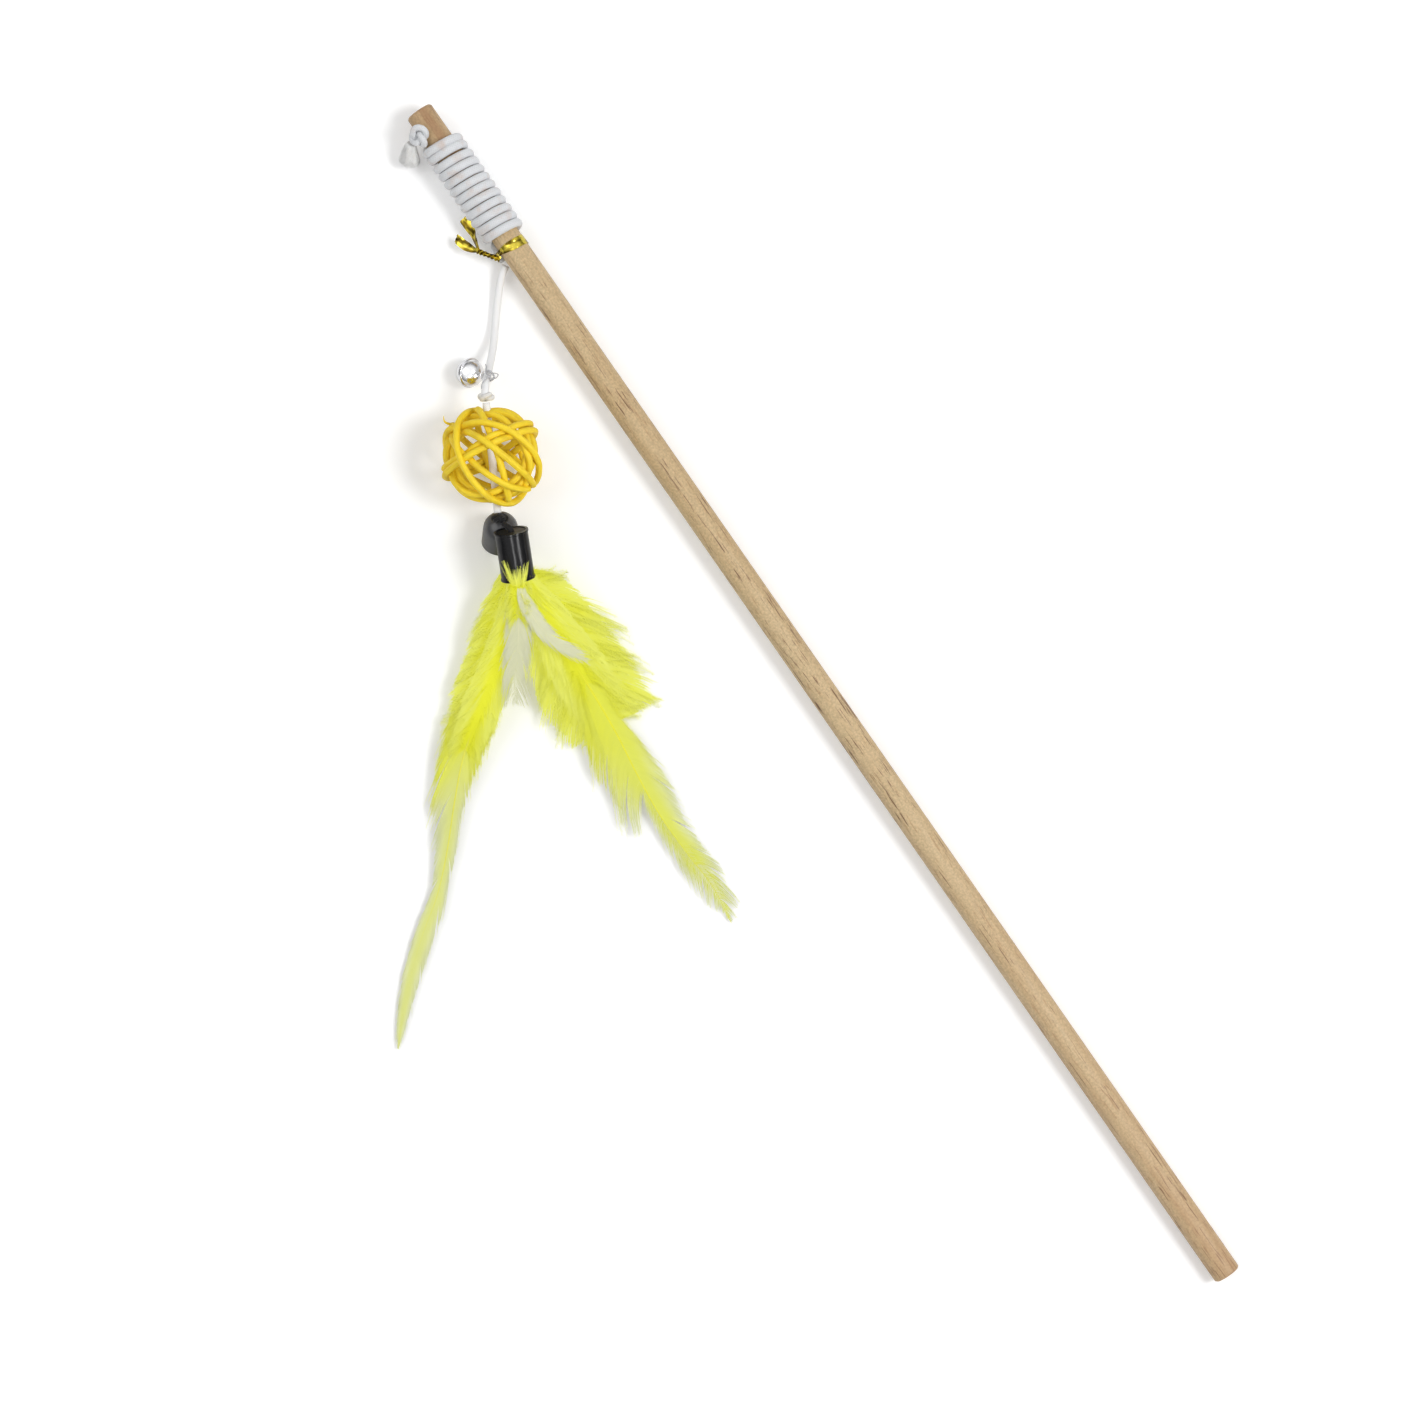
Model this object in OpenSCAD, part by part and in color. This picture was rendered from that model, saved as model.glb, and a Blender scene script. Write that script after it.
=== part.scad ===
// Cat teaser wand: a wooden rod, a wound elastic cord, and a lure made of a bell, a woven
// ball and dyed feathers. The rod lies along X with its tip at -X and its butt at +X.
// The whole toy lies on the plane z = 0, in millimetres.

/* [Rod] */
// Length of the wooden rod
rod_len = 400; // [300:5:500]
// Diameter of the rod
rod_d = 8; // [7.5:0.5:10]
// Sanded chamfer on both ends of the rod
rod_chamfer = 0.5; // [0.3:0.1:1]
// Distance from the tip to the cross hole that the cord is threaded through
hole_s = 6.4; // [6:0.2:8]
// Diameter of the cross hole
hole_d = 2.7; // [2.6:0.1:3]
// Depth of the countersink where the cord bends out of the hole
sink_depth = 1.4; // [1.2:0.1:1.6]

/* [Cord] */
// Diameter of the elastic cord
cord_d = 2.2; // [1.8:0.1:2.3]
// Diameter of the thinner cords that carry the bead and the feathers
branch_d = 1.6; // [1.2:0.1:1.8]
// Gap between a knot and what it is tied against
knot_gap = 0.1; // [0.05:0.05:0.3]
// Gap between pieces that swing on each other
swing_gap = 0.3; // [0.2:0.05:0.5]

/* [Winding] */
// Number of turns around the rod
wrap_turns = 12; // [6:1:16]
// Distance between neighbouring turns, centre to centre
wrap_pitch = 2.66; // [2.66:0.02:3.2]
// Gap between the rod and the turns on it
wrap_gap = 0.05; // [0.03:0.01:0.15]
// Distance from the tip to the start of the first full turn
wrap_s = 11.2; // [11:0.1:14]
// Length of the straight stretch that runs under the tie
run_len = 3.4; // [2.6:0.1:6]
// Bend radius where the last turn becomes the straight stretch
run_bend = 1.9; // [1.6:0.1:3]

/* [Stopper knot] */
// Width across the knot that stops the cord at the hole
stopper_d = 7; // [6:0.2:7.2]
// Length of the cord's tail behind the knot
tail_len = 7.4; // [5:0.1:9]
// Diameter of the frayed end of the tail
tail_flare = 3.2; // [2.4:0.1:3.6]

/* [Twist tie] */
// Width of the foil band
tie_w = 3.2; // [2:0.1:3.3]
// Thickness of the foil
tie_t = 0.3; // [0.2:0.05:0.5]
// Gap between the band and what it holds
tie_gap = 0.08; // [0.05:0.01:0.2]
// Length of the twisted stretch
twist_len = 5.6; // [4:0.1:7]
// Thickness of the twisted stretch
twist_d = 1.7; // [1.2:0.1:2]
// Length of the outer loose tail
tail_a_len = 7.4; // [4:0.1:9]
// Length of the inner loose tail
tail_b_len = 10; // [5:0.1:12]
// Width of the loose tails
tie_tail_w = 2.6; // [1.6:0.1:3]

/* [Bell] */
// Outer diameter of the bell
bell_d = 8; // [7:0.2:8.4]
// Thickness of the bell's sheet metal
bell_wall = 0.45; // [0.3:0.05:0.6]
// How far the crimped seam stands out
seam_out = 0.3; // [0.2:0.05:0.4]
// Height of the crimped seam
seam_h = 0.7; // [0.5:0.1:1]
// Width of the sound slot
slot_w = 0.9; // [0.6:0.1:1.2]
// Diameter of the round ends of the sound slot
slot_hole_d = 1.6; // [1.2:0.1:2]
// Wire diameter of the hanging loop
bail_wire = 0.5; // [0.4:0.05:0.6]
// Inner diameter of the hanging loop
bail_hole = 1.45; // [1.3:0.05:1.6]
// Diameter of the rattling pellet
pellet_d = 2.6; // [2:0.1:3]
// Diameter of the thread that ties the bell on
thread_d = 0.5; // [0.4:0.05:0.6]

/* [Ball] */
// Outer diameter of the woven ball
ball_d = 30; // [28:0.5:32]
// Diameter of a rattan strand
strand_d = 1.9; // [1.6:0.05:1.9]
// Gap between crossing strands
weave_gap = 0.5; // [0.4:0.05:0.7]
// Distance between the two strands of a twin hoop
twin_step = 2.4; // [2.3:0.05:2.5]
// Width across the knot above the ball
ball_knot_d = 5; // [4.6:0.1:5.4]
// Distance from the ball's centre to the knot above it
ball_knot_x = 16.9; // [16.4:0.1:18]
// Width across the knot below the ball
end_knot_d = 4.2; // [3.8:0.1:4.4]
// Distance from the ball's centre to the knot below it
end_knot_x = 17.4; // [17:0.1:18]

/* [Bead] */
// Diameter of the domed end bead
bead_d = 9.9; // [9:0.1:10.4]
// Length of the bead
bead_len = 11; // [9:0.1:12]
// Gap between the branch cord and the bores that it runs in
bore_gap = 0.15; // [0.1:0.05:0.25]
// Diameter of the pocket for the bead's knot
pocket_d = 4.4; // [4:0.1:5]
// Depth of that pocket
pocket_depth = 3; // [2.5:0.1:4]
// Width across the knot in the pocket
bead_knot_d = 3.6; // [3.2:0.1:3.8]

/* [Sleeve] */
// Outer diameter of the sleeve that gathers the feathers
sleeve_d = 9.4; // [9:0.1:10]
// Length of the sleeve
sleeve_len = 14; // [12:0.5:18]
// Wall of the sleeve
sleeve_wall = 0.5; // [0.4:0.05:0.8]
// Rolled lip at both ends of the sleeve
sleeve_lip = 0.2; // [0.1:0.05:0.3]
// Depth of the glue plug in the sleeve
plug_len = 5.6; // [5:0.1:7]
// Gap between the sleeve's wall and the plug
plug_gap = 0.05; // [0.03:0.01:0.1]
// Depth to which the branch cord is glued in
cord_depth = 3; // [2:0.1:4]

/* [Feathers] */
// Length of the long left feather outside the sleeve
left_long_len = 138; // [110:1:150]
// Width of the long left feather
left_long_w = 14.5; // [10:0.5:15]
// Length of the long right feather outside the sleeve
right_long_len = 114; // [90:1:125]
// Width of the long right feather
right_long_w = 18; // [12:0.5:19]
// Length of the downy left feather
left_down_len = 52; // [40:1:60]
// Width of the downy left feather
left_down_w = 18; // [14:0.5:20]
// Length of the downy right feather
right_down_len = 58; // [45:1:65]
// Width of the downy right feather
right_down_w = 33; // [24:0.5:34]
// Length of the cream left feather
left_cream_len = 34; // [25:1:40]
// Width of the cream left feather
left_cream_w = 7; // [5:0.5:8]
// Length of the cream right feather
right_cream_len = 27; // [20:1:32]
// Width of the cream right feather
right_cream_w = 4.5; // [4:0.5:6]
// Diameter of a quill
quill_d = 1.2; // [0.8:0.1:1.3]
// Thickness of a smooth vane beside its quill
vane_t = 0.5; // [0.3:0.05:0.6]
// Thickness of a downy vane beside its quill
down_t = 0.9; // [0.6:0.05:1]

/* [Hidden] */

// One overrun serves all cuts
cut = 1;

// Angles in degrees. The hole slants down through the rod, so that the knot shows on top
hole_turn = 45;
run_turn = 150;
lure_turn = 34.8;
ball_turn = 6;
bell_heading = -104.5;
bell_tilt = 40;
bead_heading = -10;
bead_tilt = 50;
sleeve_heading = 8.2;
sleeve_tilt = 17;
step_a = 15;
foil_turn = 540;
slot_a = 45;
left_long_heading = -14.6;
right_long_heading = 31.8;
right_long_bow = -4;
left_down_heading = -17;
right_down_heading = 31;
left_cream_heading = -2;
left_cream_bow = 4;
right_cream_heading = 42;
right_cream_bow = 22;

// The hand-chosen shares of a tight three-lobed knot's width
knot_core_share = 0.264;
knot_lobe_share = 0.129;
knot_cord_share = 0.107;

// The lure's route: hand-chosen points from the tie to the knot above the ball, measured
// along and across the lure from the tie's exit, and up from the floor
lead_route = [[0, 0, 3.5], [2.2, -0.9, 3.1], [4.8, -1.6, 2.4], [7.6, -2.1, 1.8],
    [10.6, -2.5, 1.5], [13.6, -2.8, 1.4], [16.6, -3, 1.6], [19.4, -3.2, 2.2], [22, -3.4, 3.2],
    [24.4, -3.7, 4.7], [26.6, -4, 6.5], [28.6, -4.3, 8.5], [30.4, -4.6, 10.5],
    [32.2, -4.9, 12.5], [34, -5.2, 14.2], [35.9, -5.3, 14.9]];
// The place of the bell's thread on that route, and of the ball's centre past it
thread_x = 31.3;
thread_y = -4.75;
thread_z = 11.5;
ball_x = 54.6;
ball_y = -3.4;

// The stopper tail's route in the rod's own frame, from the knot towards the floor
tail_route = [[0, 0, 0], [0.3, -0.5, -0.7], [0.9, -1.1, -1.6], [1.8, -1.8, -2.6],
    [2.8, -2.5, -3.6], [3.9, -3.2, -4.6]];

// Rod, winding and tie
rod_r = rod_d / 2;
cord_r = cord_d / 2;
branch_r = branch_d / 2;
wrap_r = rod_r + wrap_gap + cord_r;
wrap_out = wrap_r + cord_r;
bend_in_share = 0.8;
bend_in = bend_in_share * rod_r;
exit_bend = (wrap_r * wrap_r - bend_in * bend_in) / (2 * wrap_r);
join_a = atan2(exit_bend, bend_in);
start_a = -hole_turn - join_a;
end_a = -360 * wrap_turns - run_turn;
slope_a = atan(wrap_pitch / (2 * PI * wrap_r));
bend_a = end_a + run_bend * (1 - sin(slope_a)) / wrap_r * 180 / PI;
bend_s = wrap_s + wrap_pitch * (-180 - bend_a) / 360;
run_s = bend_s + run_bend * cos(slope_a);
run_end = run_s + run_len;
floor_s = wrap_s + wrap_pitch * (wrap_turns - 0.25);
tilt = atan((wrap_out - rod_r) / (rod_len - floor_s));
sink_slope_share = 0.8;

// The places of the sleeve's top and of the bead's dome beside and above the knot below the ball
sleeve_x = 3.5;
sleeve_y = 3.6;
sleeve_rise = 3;
dome_x = 2.6;
dome_y = 0.3;

// The lure swings on the round end of its cord, just past the tie
pivot_s = run_end + swing_gap + cord_r;
pivot_off = rod_r + swing_gap + cord_r;
pivot_rel = [-pivot_off * cos(180 - run_turn), -pivot_off * sin(180 - run_turn)];
ball_r = ball_d / 2;
hub_x = ball_x + end_knot_x * cos(ball_turn);
hub_y = ball_y + end_knot_x * sin(ball_turn);
hub_z = ball_r;
hub_gap = end_knot_d / 2 + swing_gap;

// Sleeve and feathers, from the knot below the ball
sleeve_r = sleeve_d / 2;
sleeve_in_r = sleeve_r - sleeve_wall;
sleeve_top = [sleeve_x, sleeve_y, hub_z + sleeve_rise];
sleeve_dir = [cos(sleeve_tilt) * cos(sleeve_heading), cos(sleeve_tilt) * sin(sleeve_heading),
    -sin(sleeve_tilt)];
sleeve_side = [-sin(sleeve_heading), cos(sleeve_heading), 0];
sleeve_up = cross(sleeve_dir, sleeve_side);
mouth = sleeve_top + sleeve_len * sleeve_dir;

// The rod's distance from the middle of the toy's outline, which centres it on Y
left_tip = [hub_x + mouth.x + left_long_len * cos(left_long_heading),
    hub_y + mouth.y + left_long_len * sin(left_long_heading)];
left_tip_y = pivot_rel.x - left_tip.x * sin(lure_turn) + left_tip.y * cos(lure_turn);
rod_y = -(left_tip_y + wrap_out) / 2;
tip_z = rod_r * cos(tilt) + rod_len * sin(tilt);
pivot_x = -rod_len / 2 * cos(tilt) + pivot_s * cos(tilt) + pivot_rel.y * sin(tilt);
pivot_y = rod_y + pivot_rel.x;

// Vectors, curves and swept forms
function unit(v) = v / norm(v);
function mix(a, b, u) = a + (b - a) * u;
function ease(u) = u * u * (3 - 2 * u);
function bezier(p, u) = pow(1 - u, 3) * p[0] + 3 * u * pow(1 - u, 2) * p[1]
    + 3 * u * u * (1 - u) * p[2] + u * u * u * p[3];
function heading(path, i) = unit(path[min(i + 1, len(path) - 1)] - path[max(i - 1, 0)]);
function square_to(v, t) = unit(v - (v * t) * t);
function disc(r, sides) = [for (k = [0:sides - 1]) r * [cos(360 * k / sides), sin(360 * k / sides)]];
function oval(a, b, sides) = [for (k = [0:sides - 1]) [a * cos(360 * k / sides), b * sin(360 * k / sides)]];
function turned(shape, a) = [for (q = shape) [q.x * cos(a) - q.y * sin(a), q.x * sin(a) + q.y * cos(a)]];
function placed(p, n, b, shape) = [for (q = shape) p + q.x * n + q.y * b];

// Normals carried along a path without twist, starting from the direction up
function carried(path, up) = [
    for (i = 0, t = heading(path, 0), n = square_to(up, t);
        i < len(path);
        i = i + 1, t = heading(path, min(i, len(path) - 1)), n = square_to(n, t))
    n];

// Rings of a tube whose section changes along the path
function rings_along(path, up, shapes) = let (normals = carried(path, up)) [
    for (i = [0:len(path) - 1])
    placed(path[i], normals[i], cross(heading(path, i), normals[i]), shapes[i])];

function centre(ring) = (ring[0] + ring[floor(len(ring) / 2)]) / 2;

// A closed skin over rings of points: open tubes get flat ends, hoops close on themselves
module skin(rings, closed = false) {
    count = len(rings);
    sides = len(rings[0]);
    spans = closed ? count : count - 1;
    walls = [for (i = [0:spans - 1], k = [0:sides - 1])
        let (a = i * sides + k, b = i * sides + (k + 1) % sides,
            d = (i + 1) % count * sides + k, c = (i + 1) % count * sides + (k + 1) % sides)
        each [[a, d, c], [a, c, b]]];
    first = count * sides;
    ends = closed ? [] : [for (k = [0:sides - 1]) each [
        [first, k, (k + 1) % sides],
        [first + 1, first - sides + (k + 1) % sides, first - sides + k]]];
    caps = closed ? [] : [centre(rings[0]), centre(rings[count - 1])];
    polyhedron(points = [each [for (r = rings) each r], each caps], faces = [each walls, each ends],
        convexity = 10);
}

// The rod's own frame: X runs from the tip to the butt along the rod's axis
module on_rod() {
    translate([-rod_len / 2 * cos(tilt), rod_y, tip_z]) rotate([0, tilt, 0]) children();
}

// The lure's frame: its origin is on the floor under the tie's exit, X runs along the lure
module in_lure() {
    translate([pivot_x, pivot_y, 0]) rotate([0, 0, -lure_turn]) children();
}

// The ball's frame: its origin is the ball's centre, X runs along the cord through it
module in_ball() {
    in_lure() translate([ball_x, ball_y, ball_r]) rotate([0, 0, ball_turn]) children();
}

// The hub's frame: its origin is on the floor under the knot below the ball
module in_hub() {
    in_lure() translate([hub_x, hub_y, 0]) children();
}

// The wooden rod, turned round, with its slanting cross hole
module rod() {
    color("burlywood") on_rod() difference() {
        rotate([0, 90, 0]) rotate_extrude($fn = 96)
            polygon([[0, 0], [rod_r - rod_chamfer, 0], [rod_r, rod_chamfer],
                [rod_r, rod_len - rod_chamfer], [rod_r - rod_chamfer, rod_len], [0, rod_len]]);
        translate([hole_s, 0, 0]) rotate([-hole_turn, 0, 0]) rotate([90, 0, 0]) {
            cylinder(h = rod_d + 2 * cut, d = hole_d, center = true, $fn = 48);
            translate([0, 0, -rod_r - cut]) cylinder(h = sink_depth + cut,
                r1 = hole_d / 2 + sink_slope_share * (sink_depth + cut), r2 = hole_d / 2, $fn = 48);
        }
    }
}

// The cord's path: through the hole, out under the rod, round and round, then along it
function around(s, a, r) = [s, r * cos(a), r * sin(a)];
function hole_point(out, side) = [hole_s, out * cos(hole_turn) + side * sin(hole_turn),
    -out * sin(hole_turn) + side * cos(hole_turn)];
function wrap_path() = [
    for (u = [0:1:2]) hole_point(mix(-rod_r, bend_in, u / 3), 0),
    for (b = [0:step_a:90 + join_a - 1])
        hole_point(bend_in + exit_bend * sin(b), exit_bend * (cos(b) - 1)),
    for (a = [start_a:-step_a:-180 + step_a / 2])
        around(mix(hole_s, wrap_s, ease((start_a - a) / (start_a + 180))), a, wrap_r),
    for (a = [-180:-step_a:bend_a + step_a / 2])
        around(wrap_s + wrap_pitch * (-180 - a) / 360, a, wrap_r),
    for (b = [slope_a:step_a:90 - step_a / 2])
        around(bend_s + run_bend * (cos(slope_a) - cos(b)),
            bend_a - run_bend * (sin(b) - sin(slope_a)) / wrap_r * 180 / PI, wrap_r),
    for (u = [0:0.5:1]) around(mix(run_s, run_end, u), end_a, wrap_r)];

// The least gap between the winding and itself, past the half turn that joins its rings
function least_gap(path, apart) = min([for (i = [0:len(path) - apart - 1], j = [i + apart:len(path) - 1])
    norm(path[i] - path[j])]) - cord_d;

module cord_winding() {
    path = wrap_path();
    echo(winding_gap = least_gap(path, 180 / step_a));
    color("whitesmoke") on_rod()
        skin(rings_along(path, [1, 0, 0], [for (p = path) disc(cord_r, 6)]));
}

// A tight three-lobed knot about Z, in one closed strand
module tight_knot(width, rings) {
    core = knot_core_share * width;
    lobe = knot_lobe_share * width;
    line = [for (k = [0:rings - 1]) let (t = 360 * k / rings, r = core + lobe * cos(3 * t))
        [r * cos(2 * t), r * sin(2 * t), lobe * sin(3 * t)]];
    out = [for (k = [0:rings - 1]) let (t = 360 * k / rings)
        [cos(3 * t) * cos(2 * t), cos(3 * t) * sin(2 * t), sin(3 * t)]];
    skin([for (k = [0:rings - 1])
        let (t = unit(line[(k + 1) % rings] - line[(k + rings - 1) % rings]), n = square_to(out[k], t))
        placed(line[k], n, cross(t, n), disc(knot_cord_share * width, 6))], closed = true);
}
function knot_half(width) = (knot_lobe_share + knot_cord_share) * width;

// The knot outside the hole's upper mouth
stopper_out = rod_r + knot_gap + knot_half(stopper_d);
module stopper_knot() {
    color("whitesmoke") on_rod()
        translate(hole_point(-stopper_out, 0)) rotate([90 - hole_turn, 0, 0]) rotate([0, 0, 30])
        tight_knot(stopper_d, 45);
}

// The frayed tail that hangs from the knot beside the rod
tail_start = hole_point(-stopper_out, 0) - (stopper_d / 2 + knot_gap) * [0, sin(hole_turn), cos(hole_turn)];
module cord_tail() {
    size = tail_len / norm(tail_route[len(tail_route) - 1]);
    path = [for (p = tail_route) tail_start + size * p];
    last = len(path) - 1;
    color("white") on_rod() skin(rings_along(path, [1, 0, 0],
        [for (i = [0:last]) disc(mix(cord_r, tail_flare / 2, i / last), 8)]));
}

// The foil band round the rod and the cord beside it
run_at = [wrap_r * cos(end_a), wrap_r * sin(end_a)];
module round_both(grow) {
    hull() {
        circle(r = rod_r + grow, $fn = 48);
        translate(run_at) circle(r = cord_r + grow, $fn = 32);
    }
}
module tie_band() {
    color("gold") on_rod() translate([run_end - tie_w, 0, 0]) rotate([90, 0, 90])
        linear_extrude(height = tie_w) difference() {
            round_both(tie_gap + tie_t);
            round_both(tie_gap);
        }
}

// The flank of the band, where its ends come together and are twisted
flank_a = -run_turn - acos((rod_r - cord_r) / wrap_r);
flank_side = [cos(flank_a), sin(flank_a)];
twist_out = (rod_r + cord_r) / 2 + 2 * tie_gap + tie_t + twist_d / 2;
twist_at = run_at / 2 + twist_out * flank_side;
twist_start = [run_end - tie_w / 2, twist_at.x, twist_at.y];
function towards(turn, drop) = [cos(turn) * cos(drop), sin(turn) * cos(drop), -sin(drop)];
twist_way = towards(214, 12);
twist_end = twist_start + twist_len * twist_way;
module tie_twist() {
    steps = 12;
    path = [for (i = [0:steps]) twist_start + i / steps * twist_len * twist_way];
    color("goldenrod") on_rod() skin(rings_along(path, [0, 0, 1],
        [for (i = [0:steps]) turned(oval(twist_d / 2, twist_d / 4, 8), foil_turn * i / steps)]));
}

// A loose end of the foil, creased along its length and fanned out towards its cut end
function ribbon(w, t) = [[w / 2, t / 2], [-w / 2, t / 2], [-w / 2, -t / 2], [w / 2, -t / 2]];
module loose_end(start, way, len, roll) {
    steps = 10;
    crease = tie_t / 2;
    side = unit(cross([0, 0, 1], way));
    path = [for (i = [0:steps]) start + i / steps * len * way + crease * [0, 0, 1] * (i % 2)];
    on_rod() skin(rings_along(path, side,
        [for (i = [0:steps]) turned(ribbon(tie_tail_w * mix(0.5, 1, ease(i / steps)), tie_t), roll)]));
}
outer_start = twist_end + tie_t * twist_way + twist_d / 2 * [0, -0.4, -0.2];
inner_start = twist_end + tie_t * twist_way + twist_d / 2 * [0, 0.7, 0.3];
module tie_tail_outer() {
    color("gold") loose_end(outer_start, towards(202, 14), tail_a_len, 10);
}
module tie_tail_inner() {
    color("gold") loose_end(inner_start, towards(172, 8), tail_b_len, 70);
}

// The free stretch of the cord, with a round end where it swings under the tie
module cord_lead() {
    way = heading(lead_route, 0);
    tip = [for (b = [80:-25:30]) lead_route[0] - cord_r * sin(b) * way];
    path = [each tip, each lead_route];
    radii = [for (b = [80:-25:30]) cord_r * cos(b), for (p = lead_route) cord_r];
    color("whitesmoke") in_lure() skin(rings_along(path, [0, 0, 1], [for (r = radii) disc(r, 8)]));
}

// The thread that goes round the cord and through the bell's loop, as one long link
link_half = cord_r + knot_gap + thread_d / 2;
link_top = thread_z + cord_r;
module half_ring(r, d) {
    rotate_extrude(angle = 180, $fn = 48) translate([r, 0]) circle(d = d, $fn = 24);
}
module bell_thread() {
    color("white") in_lure() translate([thread_x, thread_y, 0]) {
        translate([0, 0, link_top]) rotate([90, 0, 90]) half_ring(link_half, thread_d);
        translate([0, 0, link_low]) rotate([-90, 0, 90]) half_ring(link_half, thread_d);
        for (side = [-1, 1]) translate([0, side * link_half, link_low])
            cylinder(h = link_top - link_low, d = thread_d, $fn = 24);
    }
}

// The knots on the cord above and below the ball
module ball_knot() {
    color("whitesmoke") in_ball() translate([-ball_knot_x, 0, 0]) rotate([0, 90, 0])
        tight_knot(ball_knot_d, 36);
}
module end_knot() {
    color("whitesmoke") in_ball() translate([end_knot_x, 0, 0]) rotate([0, 90, 0])
        tight_knot(end_knot_d, 36);
}

// The cord through the ball, from knot to knot
core_from = -ball_knot_x + knot_half(ball_knot_d) + knot_gap;
core_to = end_knot_x - knot_half(end_knot_d) - knot_gap;
module cord_core() {
    color("whitesmoke") in_ball() translate([core_from, 0, 0]) rotate([0, 90, 0])
        cylinder(h = core_to - core_from, d = cord_d, $fn = 32);
}

// The bell hangs from the near strand of the thread by its riveted loop
bell_r = bell_d / 2;
bell_in_r = bell_r - bell_wall;
bail_r = (bail_hole + bail_wire) / 2;
bail_out = bail_r + bail_wire / 2;
bell_reach = bell_r + bail_out;
bell_up = bell_r + thread_d / 10;
bail_z = bell_up + bell_reach * sin(bell_tilt);
link_low = bail_z - bail_out / 2;
bell_at = [thread_x + bell_reach * cos(bell_tilt) * cos(bell_heading),
    thread_y - link_half + bell_reach * cos(bell_tilt) * sin(bell_heading), bell_up];
module in_bell() {
    in_lure() translate(bell_at) rotate([0, 90 - bell_tilt, bell_heading + 180]) children();
}
module half_shell() {
    difference() {
        union() {
            sphere(r = bell_r, $fn = 64);
            cylinder(h = seam_h / 2, r = bell_r + seam_out, $fn = 64);
        }
        sphere(r = bell_in_r, $fn = 64);
        translate([0, 0, -bell_d - cut]) cylinder(h = bell_d + cut, r = bell_d, $fn = 32);
    }
}
stem_d = 1.2 * bail_wire;
module bell_upper_shell() {
    color("silver") in_bell() difference() {
        half_shell();
        cylinder(h = bell_r + cut, d = stem_d + 2 * wrap_gap, $fn = 32);
    }
}
module bell_lower_shell() {
    color("silver") in_bell() rotate([180, 0, 0]) difference() {
        half_shell();
        translate([-slot_w / 2, -bell_r * sin(slot_a), bell_in_r * cos(slot_a)])
            cube([slot_w, bell_d * sin(slot_a), bell_r]);
        for (a = [-slot_a, slot_a]) rotate([a, 0, 0]) translate([0, 0, bell_in_r / 2])
            cylinder(h = bell_r, d = slot_hole_d, $fn = 32);
    }
}
module bell_bail() {
    stem_from = bell_in_r - bail_wire;
    color("silver") in_bell() union() {
        translate([0, 0, bell_reach]) rotate([0, 90, 0]) rotate_extrude($fn = 48)
            translate([bail_r, 0]) circle(d = bail_wire, $fn = 24);
        translate([0, 0, stem_from]) cylinder(h = bell_r + bail_wire / 2 - stem_from, d = stem_d, $fn = 32);
        translate([0, 0, stem_from]) cylinder(h = bail_wire / 2, d = 2 * stem_d, $fn = 32);
    }
}
module bell_pellet() {
    color("gray") in_lure()
        translate(bell_at - (bell_in_r - pellet_d / 2 - wrap_gap / 2) * [0, 0, 1])
        sphere(d = pellet_d, $fn = 48);
}

// The woven ball: six bands of rattan on one sphere, three of them twin. Each band passes
// over and under the others in turn. A band is a circle given by its normal, turned about
// the cord and tipped from it, and by a small offset that keeps the weave uneven.
strand_r = strand_d / 2;
lift = strand_r + weave_gap / 2;
weave_r = ball_r - strand_r - lift;
band_turn = [171, 52, 288, 228, 112, 355];
band_tilt = [78, 78, 77, 40, 42, 36];
band_offset_shares = [0.02, -0.01, 0, 0.02, 0.01, 0.02];
strands = [[0, 0], [1, 0], [2, 0], [3, -1], [3, 1], [4, -1], [4, 1], [5, -1], [5, 1]];
function band_n(b) = [cos(band_tilt[b]), sin(band_tilt[b]) * cos(band_turn[b]),
    sin(band_tilt[b]) * sin(band_turn[b])];
function band_h(b) = band_offset_shares[b] * weave_r;
function strand_h(s) = band_h(s[0]) + s[1] * twin_step / 2;

// The point where two circles of the sphere cross, on one side or the other
function crossing(n, h, m, g, side) = let (c = n * m, rest = 1 - c * c,
    foot = ((h - g * c) * n + (g - h * c) * m) / rest)
    foot + side * sqrt((weave_r * weave_r - foot * foot) / rest) * cross(n, m);
function product(v, i = 0) = i < len(v) ? v[i] * product(v, i + 1) : 1;

// Bands colour the sphere like a chessboard. Going over on one colour and under on the
// other makes every band alternate all the way round.
function goes_over(b, d, side) = let (n = band_n(b), m = band_n(d), h = band_h(b), g = band_h(d),
    p = crossing(n, h, m, g, side), t = cross(n, p - h * n), u = cross(m, p - g * m),
    colour = product([for (k = [0:len(band_turn) - 1]) if (k != b && k != d) sign(band_n(k) * p - band_h(k))]))
    colour * sign(cross(t, u) * p) * sign(n * u) * sign(m * t);

// Crossings of a strand, in order of their angle round it
function by_angle(v) = len(v) < 2 ? v : let (pivot = v[floor(len(v) / 2)][0])
    [each by_angle([for (c = v) if (c[0] < pivot) c]), for (c = v) if (c[0] == pivot) c,
        each by_angle([for (c = v) if (c[0] > pivot) c])];
function round_a(a) = a < 0 ? a + 360 : a;
function met_by(s, e1, e2) = by_angle([for (o = strands, side = [-1, 1]) if (o[0] != s[0])
    let (p = crossing(band_n(s[0]), strand_h(s), band_n(o[0]), strand_h(o), side))
    [round_a(atan2(p * e2, p * e1)), goes_over(s[0], o[0], side)]]);

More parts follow.
